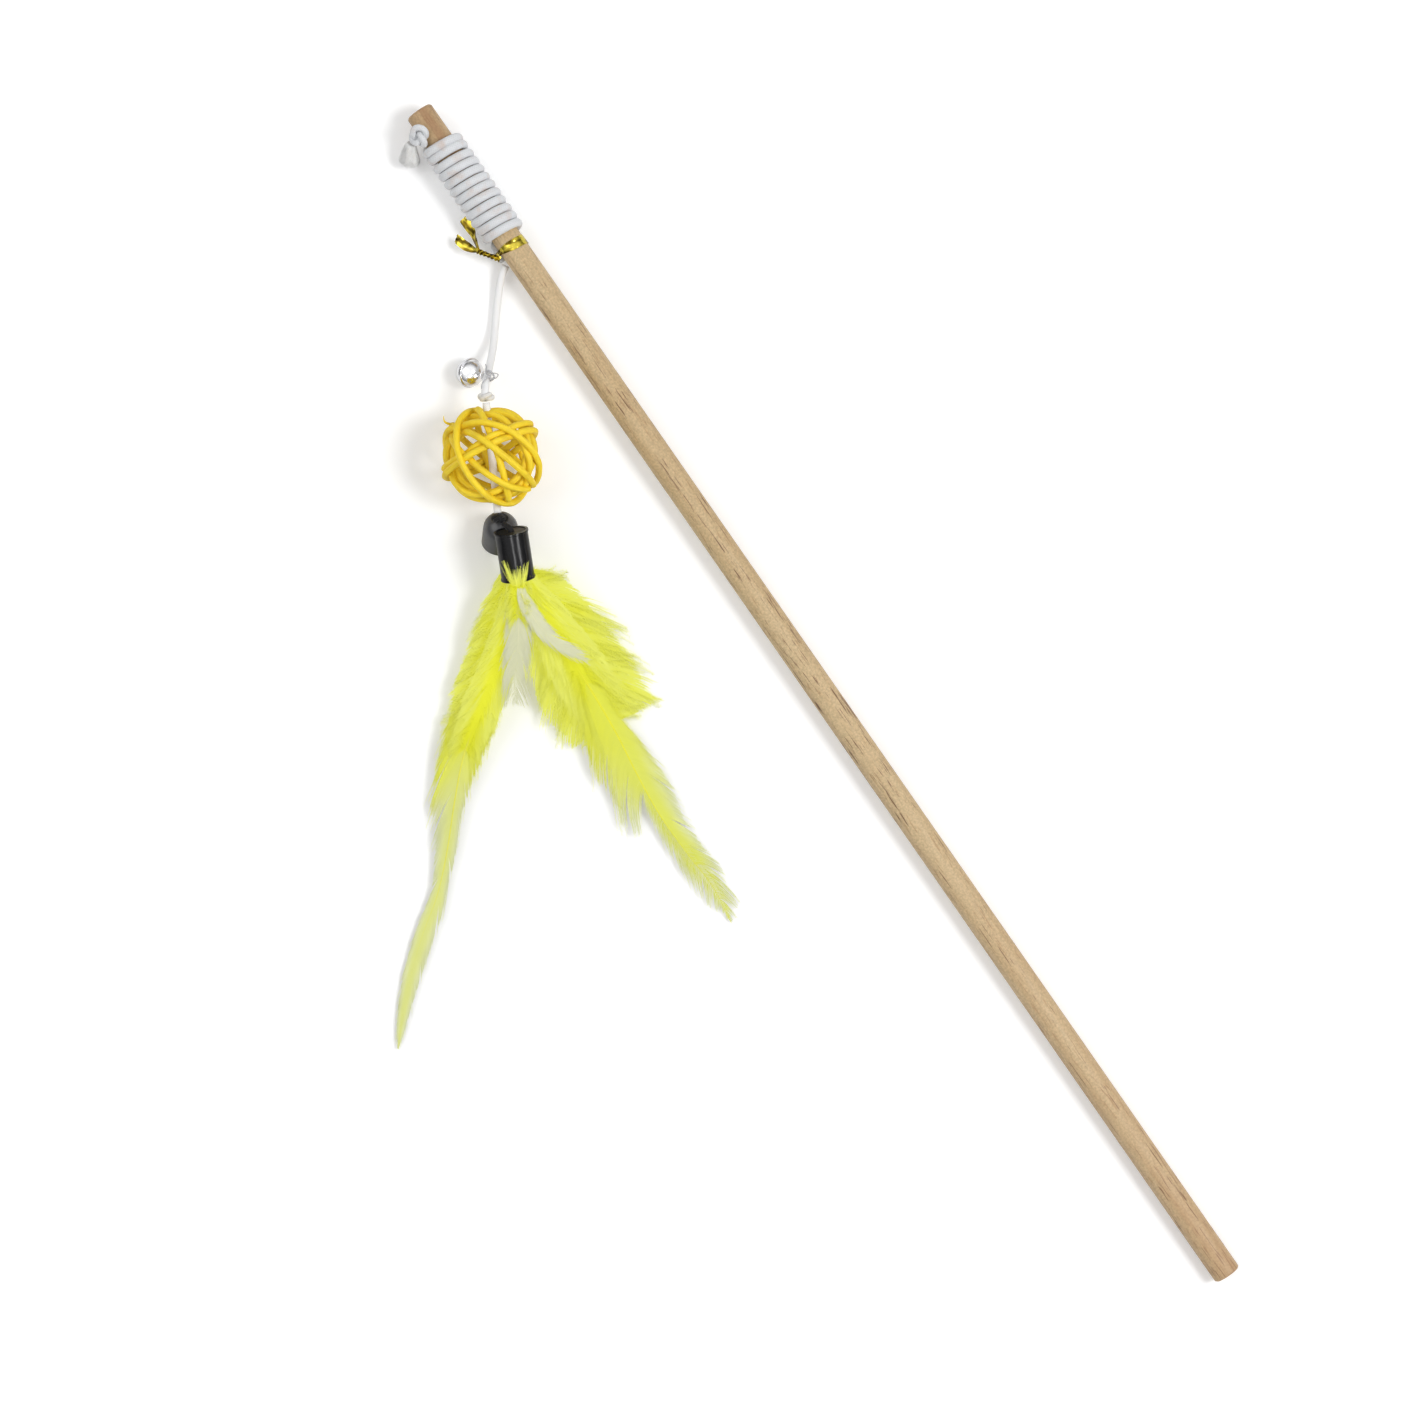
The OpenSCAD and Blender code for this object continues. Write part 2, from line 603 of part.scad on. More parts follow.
// The height of a strand between two crossings: it stays level between two alike
function weave_lift(met, a) = let (last = len(met) - 1,
    k = a < met[0][0] || a >= met[last][0] ? last : max([for (i = [0:last]) if (met[i][0] <= a) i]),
    next = (k + 1) % (last + 1), span = round_a(met[next][0] - met[k][0]),
    u = round_a(a - met[k][0]) / span)
    lift * mix(met[k][1], met[next][1], (1 - cos(180 * u)) / 2);
module hoop(i, steps = 48) {
    s = strands[i];
    n = band_n(s[0]);
    h = strand_h(s);
    e1 = unit(cross([0, 0, 1], n));
    e2 = cross(n, e1);
    met = met_by(s, e1, e2);
    flat_r = sqrt(weave_r * weave_r - h * h);
    line = [for (k = [0:steps - 1]) let (a = 360 * k / steps)
        (h * n + flat_r * (cos(a) * e1 + sin(a) * e2)) * (1 + weave_lift(met, a) / weave_r)];
    color(i % 2 == 0 ? "gold" : "goldenrod") in_ball() skin([for (k = [0:steps - 1])
        let (t = unit(line[(k + 1) % steps] - line[(k + steps - 1) % steps]), out = square_to(unit(line[k]), t))
        placed(line[k], out, cross(t, out), disc(strand_r, 6))], closed = true);
}

// The domed end bead leans on the floor, with its knot in the pocket of its flat end
bead_r = bead_d / 2;
mouth_share = 1.3;
bead_axis = [-cos(bead_tilt) * cos(bead_heading), -cos(bead_tilt) * sin(bead_heading), sin(bead_tilt)];
bead_side = bead_len - bead_r;
bead_base = [dome_x - bead_side * bead_axis.x, dome_y - bead_side * bead_axis.y, bead_r * cos(bead_tilt)];
module on_bead() {
    in_hub() translate(bead_base) rotate([0, 90 - bead_tilt, bead_heading + 180]) children();
}
module end_bead() {
    edge = bore_gap;
    color("dimgray") on_bead() difference() {
        rotate_extrude($fn = 96) polygon([[0, 0], [bead_r - edge, 0], [bead_r, edge],
            for (a = [0:7.5:90]) [bead_r * cos(a), bead_side + bead_r * sin(a)]]);
        translate([0, 0, -cut]) cylinder(h = bead_len + 2 * cut, r = branch_r + bore_gap, $fn = 32);
        translate([0, 0, -cut]) cylinder(h = pocket_depth + cut, d = pocket_d, $fn = 48);
        translate([0, 0, bead_len - branch_d]) cylinder(h = branch_d + bore_gap,
            r1 = branch_r + bore_gap, r2 = mouth_share * branch_d + bore_gap, $fn = 48);
    }
}
module bead_cord() {
    from = [0, 0, hub_z - hub_gap];
    pole = bead_base + bead_len * bead_axis;
    foot = bead_base + pocket_depth * bead_axis;
    bend = norm(from - pole) / 2;
    curve = [from, from - bend * [0, 0, 1], pole + bend * bead_axis, pole];
    path = [for (u = [0:0.2:0.9]) bezier(curve, u), for (u = [0:0.5:1]) mix(pole, foot, u)];
    color("whitesmoke") in_hub() skin(rings_along(path, [0, 1, 0], [for (p = path) disc(branch_r, 8)]));
}
module bead_knot() {
    color("whitesmoke") on_bead() translate([0, 0, pocket_depth - knot_gap - knot_half(bead_knot_d)])
        tight_knot(bead_knot_d, 30);
}

// The sleeve lies over the bead and gathers the quills
module on_sleeve() {
    in_hub() translate(sleeve_top) rotate([0, 90 + sleeve_tilt, sleeve_heading]) children();
}
module feather_sleeve() {
    color("black") on_sleeve() rotate_extrude($fn = 96) polygon([
        [sleeve_in_r, 0], [sleeve_r + sleeve_lip, 0], [sleeve_r + sleeve_lip, sleeve_wall],
        [sleeve_r, sleeve_wall + sleeve_lip], [sleeve_r, sleeve_len - sleeve_wall - sleeve_lip],
        [sleeve_r + sleeve_lip, sleeve_len - sleeve_wall], [sleeve_r + sleeve_lip, sleeve_len],
        [sleeve_in_r, sleeve_len]]);
}
module sleeve_plug() {
    color("dimgray") on_sleeve() difference() {
        translate([0, 0, sleeve_lip]) cylinder(h = plug_len - sleeve_lip, r = sleeve_in_r - plug_gap, $fn = 64);
        translate([0, 0, -cut]) cylinder(h = cord_depth + knot_gap + cut, r = branch_r + bore_gap, $fn = 32);
    }
}
module sleeve_cord() {
    hub = [0, 0, hub_z];
    way = unit(sleeve_top - hub);
    from = hub + hub_gap * way;
    bend = norm(sleeve_top - from) / 3;
    curve = [from, from + bend * way, sleeve_top - bend * sleeve_dir, sleeve_top];
    path = [for (u = [0:0.2:0.9]) bezier(curve, u),
        for (u = [0:0.5:1]) sleeve_top + u * cord_depth * sleeve_dir];
    color("whitesmoke") in_hub() skin(rings_along(path, [0, 1, 0], [for (p = path) disc(branch_r, 8)]));
}

// A feather: a quill from the plug to the sleeve's mouth, then a vane that follows a curve
// to its tip. The vane thins from the quill to its edges, which are notched in barbs. Its
// widths to the left and to the right of the quill are shares of the feather's own width.
slot_r = sleeve_in_r - quill_d / 2 - bore_gap;
quill_tip_share = 0.3;
narrow_share = 1.3;
ridge_share = 1.2;
root_bend_share = 0.06;
tip_bend_share = 0.3;
function share_at(shares, u) = let (x = u * (len(shares) - 1), k = min(floor(x), len(shares) - 2))
    mix(shares[k], shares[k + 1], x - k);
function vane(left, right, t, q) = [[right, 0], [ridge_share * q, t / 2], [0, q], [-ridge_share * q, t / 2],
    [-left, 0], [-ridge_share * q, -t / 2], [0, -q], [ridge_share * q, -t / 2]];
module feather(slot, len, turn, width, thick, end_z, left_shares, right_shares, notches, steps, bow = 0) {
    quill_r = quill_d / 2;
    spot = slot_r * (slot.x * sleeve_side + slot.y * sleeve_up);
    root = sleeve_top + (plug_len + knot_gap) * sleeve_dir + spot;
    out = mouth + spot;
    tip = [mouth.x + len * cos(turn), mouth.y + len * sin(turn), end_z];
    way = [cos(turn + bow), sin(turn + bow), -(out.z - end_z) / len];
    curve = [out, out + root_bend_share * len * sleeve_dir, tip - tip_bend_share * len * way, tip];
    path = [root, (root + out) / 2, for (i = [0:steps]) bezier(curve, i / steps)];
    in_hub() skin(rings_along(path, sleeve_side, [for (i = [0:len(path) - 1])
        let (u = i < 2 ? 0 : min(norm(path[i] - out) / norm(tip - out), 1),
            thin = mix(1, quill_tip_share, u), q = quill_r * thin,
            notch = i < 2 ? 0 : width * notches[i % len(notches)])
        vane(max(narrow_share * q, notch * share_at(left_shares, u)),
            max(narrow_share * q, notch * share_at(right_shares, u)), thick * thin, q)]));
}
smooth_notch_shares = [1, 0.94, 0.88];
downy_notch_shares = [1, 0.86, 0.94, 0.78];
left_long_slot_shares = [-0.45, -0.35];
left_long_outer_shares = [0.09, 0.27, 0.47, 0.55, 0.49, 0.31, 0.2, 0.15, 0.16, 0.13, 0.02];
left_long_inner_shares = [0.09, 0.24, 0.42, 0.44, 0.3, 0.19, 0.17, 0.21, 0.23, 0.15, 0.02];
module feather_left_long() {
    color("yellow") feather(left_long_slot_shares, left_long_len, left_long_heading, left_long_w,
        vane_t, vane_t + quill_d / 2, left_long_outer_shares, left_long_inner_shares,
        smooth_notch_shares, 42);
}
right_long_slot_shares = [0.45, 0.05];
right_long_outer_shares = [0.07, 0.16, 0.22, 0.23, 0.17, 0.3, 0.39, 0.31, 0.28, 0.27, 0.02];
right_long_inner_shares = [0.07, 0.15, 0.24, 0.33, 0.47, 0.65, 0.51, 0.28, 0.21, 0.25, 0.02];
module feather_right_long() {
    color("yellow") feather(right_long_slot_shares, right_long_len, right_long_heading, right_long_w,
        vane_t, vane_t + quill_d / 2, right_long_inner_shares, right_long_outer_shares,
        smooth_notch_shares, 36, right_long_bow);
}
left_down_slot_shares = [-0.55, -0.75];
left_down_outer_shares = [0.06, 0.2, 0.34, 0.43, 0.51, 0.55, 0.54, 0.51, 0.46, 0.36, 0.1];
left_down_inner_shares = [0.05, 0.15, 0.28, 0.37, 0.42, 0.44, 0.44, 0.43, 0.4, 0.33, 0.1];
module feather_left_down() {
    color("khaki") feather(left_down_slot_shares, left_down_len, left_down_heading, left_down_w,
        down_t, down_t + quill_d / 2, left_down_outer_shares, left_down_inner_shares,
        downy_notch_shares, 24);
}
right_down_slot_shares = [0.55, -0.75];
right_down_outer_shares = [0.03, 0.24, 0.34, 0.4, 0.45, 0.49, 0.52, 0.53, 0.52, 0.44, 0.15];
right_down_inner_shares = [0.03, 0.09, 0.18, 0.27, 0.35, 0.4, 0.45, 0.47, 0.47, 0.4, 0.15];
module feather_right_down() {
    color("khaki") feather(right_down_slot_shares, right_down_len, right_down_heading, right_down_w,
        down_t, down_t + quill_d / 2, right_down_inner_shares, right_down_outer_shares,
        downy_notch_shares, 24);
}
left_cream_slot_shares = [-0.25, 0.35];
left_cream_shares = [0.1, 0.3, 0.46, 0.5, 0.48, 0.4, 0.2];
module feather_left_cream() {
    color("beige") feather(left_cream_slot_shares, left_cream_len, left_cream_heading, left_cream_w,
        vane_t, mouth.z - sleeve_wall, left_cream_shares, left_cream_shares,
        smooth_notch_shares, 14, left_cream_bow);
}
right_cream_slot_shares = [0.3, 0.85];
right_cream_shares = [0.1, 0.3, 0.46, 0.5, 0.44, 0.3, 0.05];
module feather_right_cream() {
    color("beige") feather(right_cream_slot_shares, right_cream_len, right_cream_heading, right_cream_w,
        vane_t, mouth.z + sleeve_wall, right_cream_shares, right_cream_shares,
        smooth_notch_shares, 14, right_cream_bow);
}

rod();
cord_winding();
stopper_knot();
cord_tail();
tie_band();
tie_twist();
tie_tail_outer();
tie_tail_inner();
cord_lead();
bell_thread();
ball_knot();
cord_core();
end_knot();
bell_upper_shell();
bell_lower_shell();
bell_bail();
bell_pellet();
hoop(0);  // hoop_1
hoop(1);  // hoop_2
hoop(2);  // hoop_3
hoop(3);  // hoop_4_front
hoop(4);  // hoop_4_back
hoop(5);  // hoop_5_front
hoop(6);  // hoop_5_back
hoop(7);  // hoop_6_front
hoop(8);  // hoop_6_back
end_bead();
bead_cord();
bead_knot();
feather_sleeve();
sleeve_plug();
sleeve_cord();
feather_left_long();
feather_right_long();
feather_left_down();
feather_right_down();
feather_left_cream();
feather_right_cream();
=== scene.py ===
import math

import bmesh
import bpy
import numpy as np
from mathutils import Matrix, Vector, noise


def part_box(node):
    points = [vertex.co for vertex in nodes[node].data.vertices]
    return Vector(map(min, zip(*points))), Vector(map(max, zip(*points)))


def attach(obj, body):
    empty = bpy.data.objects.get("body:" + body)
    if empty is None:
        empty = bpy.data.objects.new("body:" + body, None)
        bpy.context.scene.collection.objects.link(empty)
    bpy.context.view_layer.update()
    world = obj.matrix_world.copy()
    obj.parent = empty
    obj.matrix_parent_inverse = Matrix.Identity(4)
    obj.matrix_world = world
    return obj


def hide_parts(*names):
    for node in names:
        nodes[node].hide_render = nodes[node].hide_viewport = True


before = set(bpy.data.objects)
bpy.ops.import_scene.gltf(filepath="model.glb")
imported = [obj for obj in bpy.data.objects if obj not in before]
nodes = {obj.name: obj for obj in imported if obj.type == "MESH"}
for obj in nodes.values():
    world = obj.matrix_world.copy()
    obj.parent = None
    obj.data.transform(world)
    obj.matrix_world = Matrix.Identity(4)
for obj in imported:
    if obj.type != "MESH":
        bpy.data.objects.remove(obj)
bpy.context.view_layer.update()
bpy.ops.object.select_all(action='DESELECT')

# The camera looks straight down at the toy, which lies flat, turned so that the rod runs
# from the upper left to the lower right.
view = bpy.data.cameras.new("top_camera")
view.lens = 125.5
view.sensor_width = 36.0
view.clip_start = 0.1
view.clip_end = 10.0
camera = bpy.data.objects.new("top_camera", view)
camera.location = (-0.01507, 0.04621, 1.4)
camera.rotation_euler = (0.0, 0.0, math.radians(55.18))
bpy.context.scene.collection.objects.link(camera)
bpy.context.scene.camera = camera


# The free stretch of the elastic cord: a round rubber core under a woven white cover. It
# leaves the tie, lies nearly on the floor and climbs to the knot above the ball.
def spline(points, per_span):
    """More points along a smooth curve through the given ones."""
    path = []
    for i in range(len(points) - 1):
        a, b = Vector(points[max(i - 1, 0)]), Vector(points[i])
        c, d = Vector(points[i + 1]), Vector(points[min(i + 2, len(points) - 1)])
        for k in range(per_span):
            u = k / per_span
            path.append(0.5 * (2 * b + (c - a) * u + (2 * a - 5 * b + 4 * c - d) * u * u
                               + (3 * b - 3 * c + d - a) * u * u * u))
    path.append(Vector(points[-1]))
    return path


def tube(name, path, radii, sides=14, closed=False, up=(0, 0, 1), flat=1.0, lobes=0, groove=0.0):
    """A strand along a path, its UV map in metres: along it and round it. Up is the way its first
    side looks, one for all points or one for each; flat, lobes and groove shape its section."""
    count = len(path)
    given = up if len(up) == count and count > 3 else None
    rounds = [1 + groove * math.cos(2 * math.pi * k * lobes / sides) for k in range(sides)]
    if not hasattr(radii, "__len__"):
        radii = [radii] * count
    body = bmesh.new()
    layer = body.loops.layers.uv.new("UVMap")
    rings, reach, normal = [], [0.0], Vector(given[0] if given else up)
    for i, point in enumerate(path):
        ahead = path[(i + 1) % count] if closed or i + 1 < count else path[i]
        behind = path[i - 1] if closed or i > 0 else path[i]
        along = (ahead - behind).normalized()
        normal = Vector(given[i]) if given else normal
        normal = (normal - normal.dot(along) * along).normalized()
        across = along.cross(normal)
        rings.append([body.verts.new(point + radii[i] * rounds[k] * (
            math.cos(2 * math.pi * k / sides) * normal
            + flat * math.sin(2 * math.pi * k / sides) * across)) for k in range(sides)])
        if i:
            reach.append(reach[-1] + (point - path[i - 1]).length)
    if closed:
        reach.append(reach[-1] + (path[0] - path[-1]).length)
    shift = 0
    if closed:
        first = rings[0][0].co - path[0]
        turns = [(rings[-1][k].co - path[-1]).dot(first) for k in range(sides)]
        shift = turns.index(max(turns))
    girth = 2 * math.pi * max(radii)
    for i in range(count if closed else count - 1):
        j = (i + 1) % count
        roll = -shift if j == 0 else 0
        for k in range(sides):
            here, there = (k + 1) % sides, (k + roll) % sides
            face = body.faces.new((rings[i][k], rings[i][here],
                                   rings[j][(here + roll) % sides], rings[j][there]))
            face.smooth = True
            for loop, u, v in zip(face.loops, (reach[i], reach[i], reach[i + 1], reach[i + 1]),
                                  (k, k + 1, k + 1, k)):
                loop[layer].uv = (u, girth * v / sides)
    if not closed:
        for ring, order in ((rings[0], -1), (rings[-1], 1)):
            middle = body.verts.new(sum((v.co for v in ring), Vector()) / sides)
            for k in range(sides):
                pair = (ring[k], ring[(k + 1) % sides])
                body.faces.new((*pair[::order], middle)).smooth = True
    bmesh.ops.recalc_face_normals(body, faces=body.faces)
    return piece_of(name, body)


def piece_of(name, form):
    """A piece at the origin from a mesh, or from a bmesh, which is used up."""
    mesh = form
    if isinstance(form, bmesh.types.BMesh):
        mesh = bpy.data.meshes.new(name)
        form.to_mesh(mesh)
        form.free()
    piece = bpy.data.objects.new(name, mesh)
    bpy.context.scene.collection.objects.link(piece)
    return piece


def dress(piece, material, body, node):
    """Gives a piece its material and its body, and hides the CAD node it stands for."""
    piece.data.materials.append(material)
    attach(piece, body)
    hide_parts(node)


class Nodes:
    """A node tree, with short ways to add shader nodes to it."""

    def __init__(self, tree):
        self.tree = tree

    def put(self, kind, settings=None, **sockets):
        """Adds a node, sets its choices, and sets or links its sockets by name or number."""
        made = self.tree.nodes.new("ShaderNode" + kind)
        for key, value in (settings or {}).items():
            setattr(made, key, value)
        for key, value in sockets.items():
            socket = made.inputs[int(key[1:]) if key[0] == "_" else key.replace("_", " ")]
            if isinstance(value, bpy.types.NodeSocket):
                self.tree.links.new(value, socket)
            else:
                socket.default_value = value
        return made

    def calc(self, operation, a, b=0.0, c=0.0):
        return self.put("Math", {"operation": operation}, _0=a, _1=b, _2=c).outputs[0]

    def times(self, a, b):
        return self.calc('MULTIPLY', a, b)

    def vector(self, operation, place, by):
        return self.put("VectorMath", {"operation": operation}, _0=place, _1=by).outputs[0]

    def ramp(self, value, low, high, first=0.0, last=1.0, smooth=False):
        """The value taken from low and high to first and last, and held beyond them."""
        kind = {"interpolation_type": 'SMOOTHSTEP' if smooth else 'LINEAR'}
        return self.put("MapRange", kind, _0=value, _1=low, _2=high, _3=first, _4=last).outputs[0]

    def mix(self, share, first, last, blend='MIX'):
        """A colour between two others, each a colour or a socket."""
        first, last = ((*c, 1) if isinstance(c, tuple) else c for c in (first, last))
        kind = {"data_type": 'RGBA', "blend_type": blend}
        return self.put("Mix", kind, _0=share, _6=first, _7=last).outputs[2]

    def cloud(self, place, scale, detail, rough=0.5, distortion=0.0):
        """Soft noise."""
        return self.put("TexNoise", Vector=place, Scale=scale, Detail=detail, Roughness=rough,
                        Distortion=distortion).outputs[0]

    def stretch(self, place, *scale):
        return self.put("Mapping", _0=place, Scale=scale).outputs[0]

    def bump(self, height, strength, distance):
        return self.put("Bump", Strength=strength, Distance=distance, Height=height).outputs[0]


class Finish(Nodes):
    """A material with its own Principled shader."""

    def __init__(self, name, **sockets):
        self.material = bpy.data.materials.new(name)
        self.material.use_nodes = True
        super().__init__(self.material.node_tree)
        self.shader = self.tree.nodes["Principled BSDF"].inputs
        for key, value in sockets.items():
            self.shader[key.replace("_", " ")].default_value = value

    def place(self):
        """The place on the piece, in metres."""
        return self.put("TexCoord").outputs["Object"]

    def uv(self):
        return self.put("UVMap", {"uv_map": "UVMap"}).outputs[0]

    def use(self, effect, **sockets):
        """The outputs of a shared effect."""
        return self.put("Group", {"node_tree": effect}, **sockets).outputs

    def done(self, **sockets):
        """Links the shader's sockets and gives the material."""
        for key, value in sockets.items():
            self.tree.links.new(value, self.shader[key.replace("_", " ")])
        return self.material


class Effect(Nodes):
    """A shared node group with named inputs, each with its usual value, and named outputs."""

    def __init__(self, name, inputs, outputs):
        super().__init__(bpy.data.node_groups.new(name, "ShaderNodeTree"))
        sockets = self.tree.interface
        for key, value in inputs.items():
            kind = "NodeSocketVector" if isinstance(value, tuple) else "NodeSocketFloat"
            sockets.new_socket(name=key, in_out='INPUT', socket_type=kind).default_value = value
        for key in outputs:
            sockets.new_socket(name=key, in_out='OUTPUT', socket_type="NodeSocketFloat")
        self.given = self.tree.nodes.new("NodeGroupInput").outputs
        self.gives = self.tree.nodes.new("NodeGroupOutput").inputs

    def done(self, **outputs):
        """Links the group's outputs and gives the group."""
        for key, value in outputs.items():
            self.tree.links.new(value, self.gives[key])
        return self.tree


def braid_effect():
    """The woven cover: fine plaited ridges over the strand, from its UV map in metres."""
    group = Effect("woven cover", {"UV": (0, 0, 0), "Ridge": 0.0006}, ["Height", "Shade"])
    lengths = group.put("SeparateXYZ", _0=group.given["UV"]).outputs
    along, across = (group.calc('DIVIDE', lengths[k], group.given["Ridge"]) for k in (0, 1))
    plies = []
    for way in ('ADD', 'SUBTRACT'):
        wave = group.calc('SINE', group.times(group.calc(way, along, across), math.pi))
        plies.append(group.calc('POWER', group.calc('ABSOLUTE', wave), 0.6))
    height = group.calc('MAXIMUM', *plies)
    return group.done(Height=height, Shade=group.calc('MULTIPLY_ADD', height, 0.5, 0.5))


def stain_effect():
    """Soft uneven dirt from handling, stronger in some places."""
    group = Effect("handling marks", {"Place": (0, 0, 0), "Size": 250.0, "Amount": 0.5}, ["Mask"])
    cloud = group.cloud(group.given["Place"], group.given["Size"], 3.0, 0.6)
    return group.done(Mask=group.times(group.ramp(cloud, 0.5, 0.78), group.given["Amount"]))


woven_cover = braid_effect()
handling_marks = stain_effect()


def cord_finish(name, colour, stain, amount, ridge=0.00055, sheen=0.25):
    """Cord with a woven cover and faint stains. Its sheen also sets how much light it catches."""
    m = Finish(name, Roughness=0.72, Sheen_Weight=sheen, Specular_IOR_Level=2 * sheen)
    place = m.place()
    weave = m.use(woven_cover, UV=m.uv(), Ridge=ridge)
    marks = m.use(handling_marks, Place=place, Size=260.0, Amount=amount)
    tone = m.mix(0.5, m.mix(marks["Mask"], colour, stain), weave["Shade"], 'MULTIPLY')
    height = m.calc('ADD', weave["Height"], m.times(m.cloud(place, 4000.0, 2.0), 0.4))
    return m.done(Base_Color=tone, Normal=m.bump(height, 0.35, 0.0001))


CORD_R = 0.0011
lure_at = Vector((-0.150565, 0.070612, 0.0))
lure_turn = math.radians(-34.8)


def in_lure(x, y, z):
    """A place in the lure's own frame, in millimetres, given in the toy's frame in metres."""
    return lure_at + lure_way(x, y, z) / 1000


def lure_way(x, y, z):
    """A direction in the lure's own frame, given in the toy's frame."""
    return Matrix.Rotation(lure_turn, 3, 'Z') @ Vector((x, y, z))


lead_route = [(0, 0, 3.5), (2.2, -0.9, 3.1), (4.8, -1.6, 2.4), (7.6, -2.1, 1.8),
              (10.6, -2.5, 1.5), (13.6, -2.8, 1.4), (16.6, -3, 1.6), (19.4, -3.2, 2.2),
              (22, -3.4, 3.2), (24.4, -3.7, 4.7), (26.6, -4, 6.5), (28.6, -4.3, 8.5),
              (30.4, -4.6, 10.5), (32.2, -4.9, 12.5), (34, -5.2, 14.2), (35.9, -5.3, 14.9),
              (37.4, -5.3, 15.0)]
lead_path = spline([in_lure(*p) for p in lead_route], 4)
white_cord = cord_finish("white elastic cord", (0.90, 0.905, 0.91), (0.78, 0.70, 0.66), 0.25)
lead = tube("lead_cord", lead_path, CORD_R, sides=18)
dress(lead, white_cord, "lead", "cord_lead")

# The rod is turned from pale hardwood and sanded, with fine pores, short brown streaks and a
# reddish stain at its tip. It is the one piece that carries all the others.
def grain_effect():
    """Long fine wood grain, with pores, from a place whose X runs along the wood."""
    group = Effect("wood grain", {"Place": (0, 0, 0), "Length": 30.0, "Fineness": 700.0},
                   ["Bands", "Pores", "Sanding"])
    place, fine = group.given["Place"], group.given["Fineness"]
    drawn = group.put("CombineXYZ", X=group.given["Length"], Y=fine, Z=fine).outputs[0]
    long = group.vector('MULTIPLY', place, drawn)
    slow = group.vector('MULTIPLY', long, (0.5, 0.28, 0.28))
    short = group.vector('MULTIPLY', long, (9.0, 2.6, 2.6))
    return group.done(Bands=group.cloud(slow, 1.0, 4.0, 0.55, 0.4),
                      Pores=group.cloud(short, 1.0, 2.0, 0.7),
                      Sanding=group.cloud(place, 1700.0, 3.0))


wood_grain = grain_effect()
rod_y, half_rod = 0.0752887, 0.2
m = Finish("sanded pale wood", Roughness=0.55)
place = m.place()
along, over = m.put("SeparateXYZ", _0=place).outputs[:2]
grain = m.use(wood_grain, Place=place, Length=16.0, Fineness=620.0)
bands = m.ramp(grain["Bands"], 0.33, 0.68)
pores = m.ramp(grain["Pores"], 0.57, 0.68, 0.0, 0.62)
tone = m.mix(pores, m.mix(bands, (0.545, 0.385, 0.20), (0.64, 0.485, 0.28)), (0.40, 0.235, 0.11))
sanded = m.ramp(grain["Sanding"], 0.32, 0.68, 0.76, 1.06)
tone = m.put("VectorMath", {"operation": 'SCALE'}, _0=tone, Scale=sanded).outputs[0]
# Brown streaks lie in clusters at listed places along the rod
clusters = m.put("ValToRGB", _0=m.ramp(along, -half_rod, half_rod))
clusters.color_ramp.elements[1].color = (0.5, 0.5, 0.5, 1)
for spot, amount in ((0.0, 0.15), (0.13, 0.2), (0.16, 0.75), (0.19, 0.3), (0.25, 0.75),
                     (0.29, 0.2), (0.34, 0.6), (0.39, 0.55), (0.45, 0.7), (0.53, 1.0),
                     (0.6, 0.95), (0.65, 0.25), (0.78, 0.2), (0.9, 0.55), (0.98, 0.9)):
    clusters.color_ramp.elements.new(spot).color = (amount, amount, amount, 1)
near = m.times(clusters.outputs[0], m.calc('MULTIPLY_ADD', m.cloud(place, 190.0, 1.0), 1.2, -0.2))
streak = m.cloud(m.stretch(place, 85.0, 2000.0, 1400.0), 1.0, 2.5, 0.6)
streaks = m.ramp(m.calc('ADD', streak, m.times(near, 0.2)), 0.67, 0.71)
tone = m.mix(streaks, tone, (0.19, 0.10, 0.05))
# The stain at the tip has a sharp edge on one side and runs back under the winding
edge = m.calc('MULTIPLY_ADD', grain["Bands"], 0.0016, m.calc('SUBTRACT', over, rod_y))
behind = m.ramp(along, -0.180, -0.172, 1.0, 0.0)
stain = m.times(m.ramp(edge, 0.0002, 0.0006),
                m.times(m.ramp(edge, 0.0022, 0.0048, 1.0, 0.0), behind))
stain = m.times(stain, m.calc('MULTIPLY_ADD', bands, 0.5, 0.45))
tip = m.times(behind, m.ramp(along, -0.199, -0.182, 0.30, 0.20))
tone = m.mix(m.calc('MAXIMUM', stain, tip), tone, (0.25, 0.095, 0.035))
far = m.times(m.ramp(along, 0.04, 0.2, 0.0, 0.8), m.calc('SUBTRACT', 1.15, bands))
tone = m.mix(far, tone, (0.42, 0.24, 0.125))
# Sawn ends are rougher and darker, with the tree's rings across them
rings = m.put("TexWave", {"wave_type": 'BANDS', "bands_direction": 'Y'}, Vector=place, Scale=260.0,
              Distortion=3.0, Detail=2.0, Detail_Scale=3.0).outputs[1]
at_end = m.calc('GREATER_THAN', m.calc('ABSOLUTE', along), half_rod - 0.0001)
tone = m.mix(at_end, tone, m.mix(rings, (0.42, 0.26, 0.13), (0.56, 0.38, 0.21)))
height = m.calc('ADD', m.times(grain["Sanding"], 0.35), m.times(grain["Bands"], 0.6))
height = m.calc('SUBTRACT', height, m.times(streaks, 0.5))
rod_wood = m.done(Base_Color=tone, Roughness=m.ramp(grain["Pores"], 0.3, 0.7, 0.5, 0.68),
                  Normal=m.bump(height, 0.3, 0.0002))


def dress_node(name, material):
    """Gives a CAD node a new material."""
    piece = nodes[name]
    for slot in piece.material_slots:
        slot.material = material
    if not piece.material_slots:
        piece.data.materials.append(material)


dress_node("rod", rod_wood)


# The winding: the same elastic cord, twelve turns pulled tight so that they lie flat against
# each other. It starts in the cross hole and its last turn runs under the tie.
rod_tilt = math.radians(0.360553)
rod_tip = Vector((-half_rod * math.cos(rod_tilt), rod_y, 0.00651704))


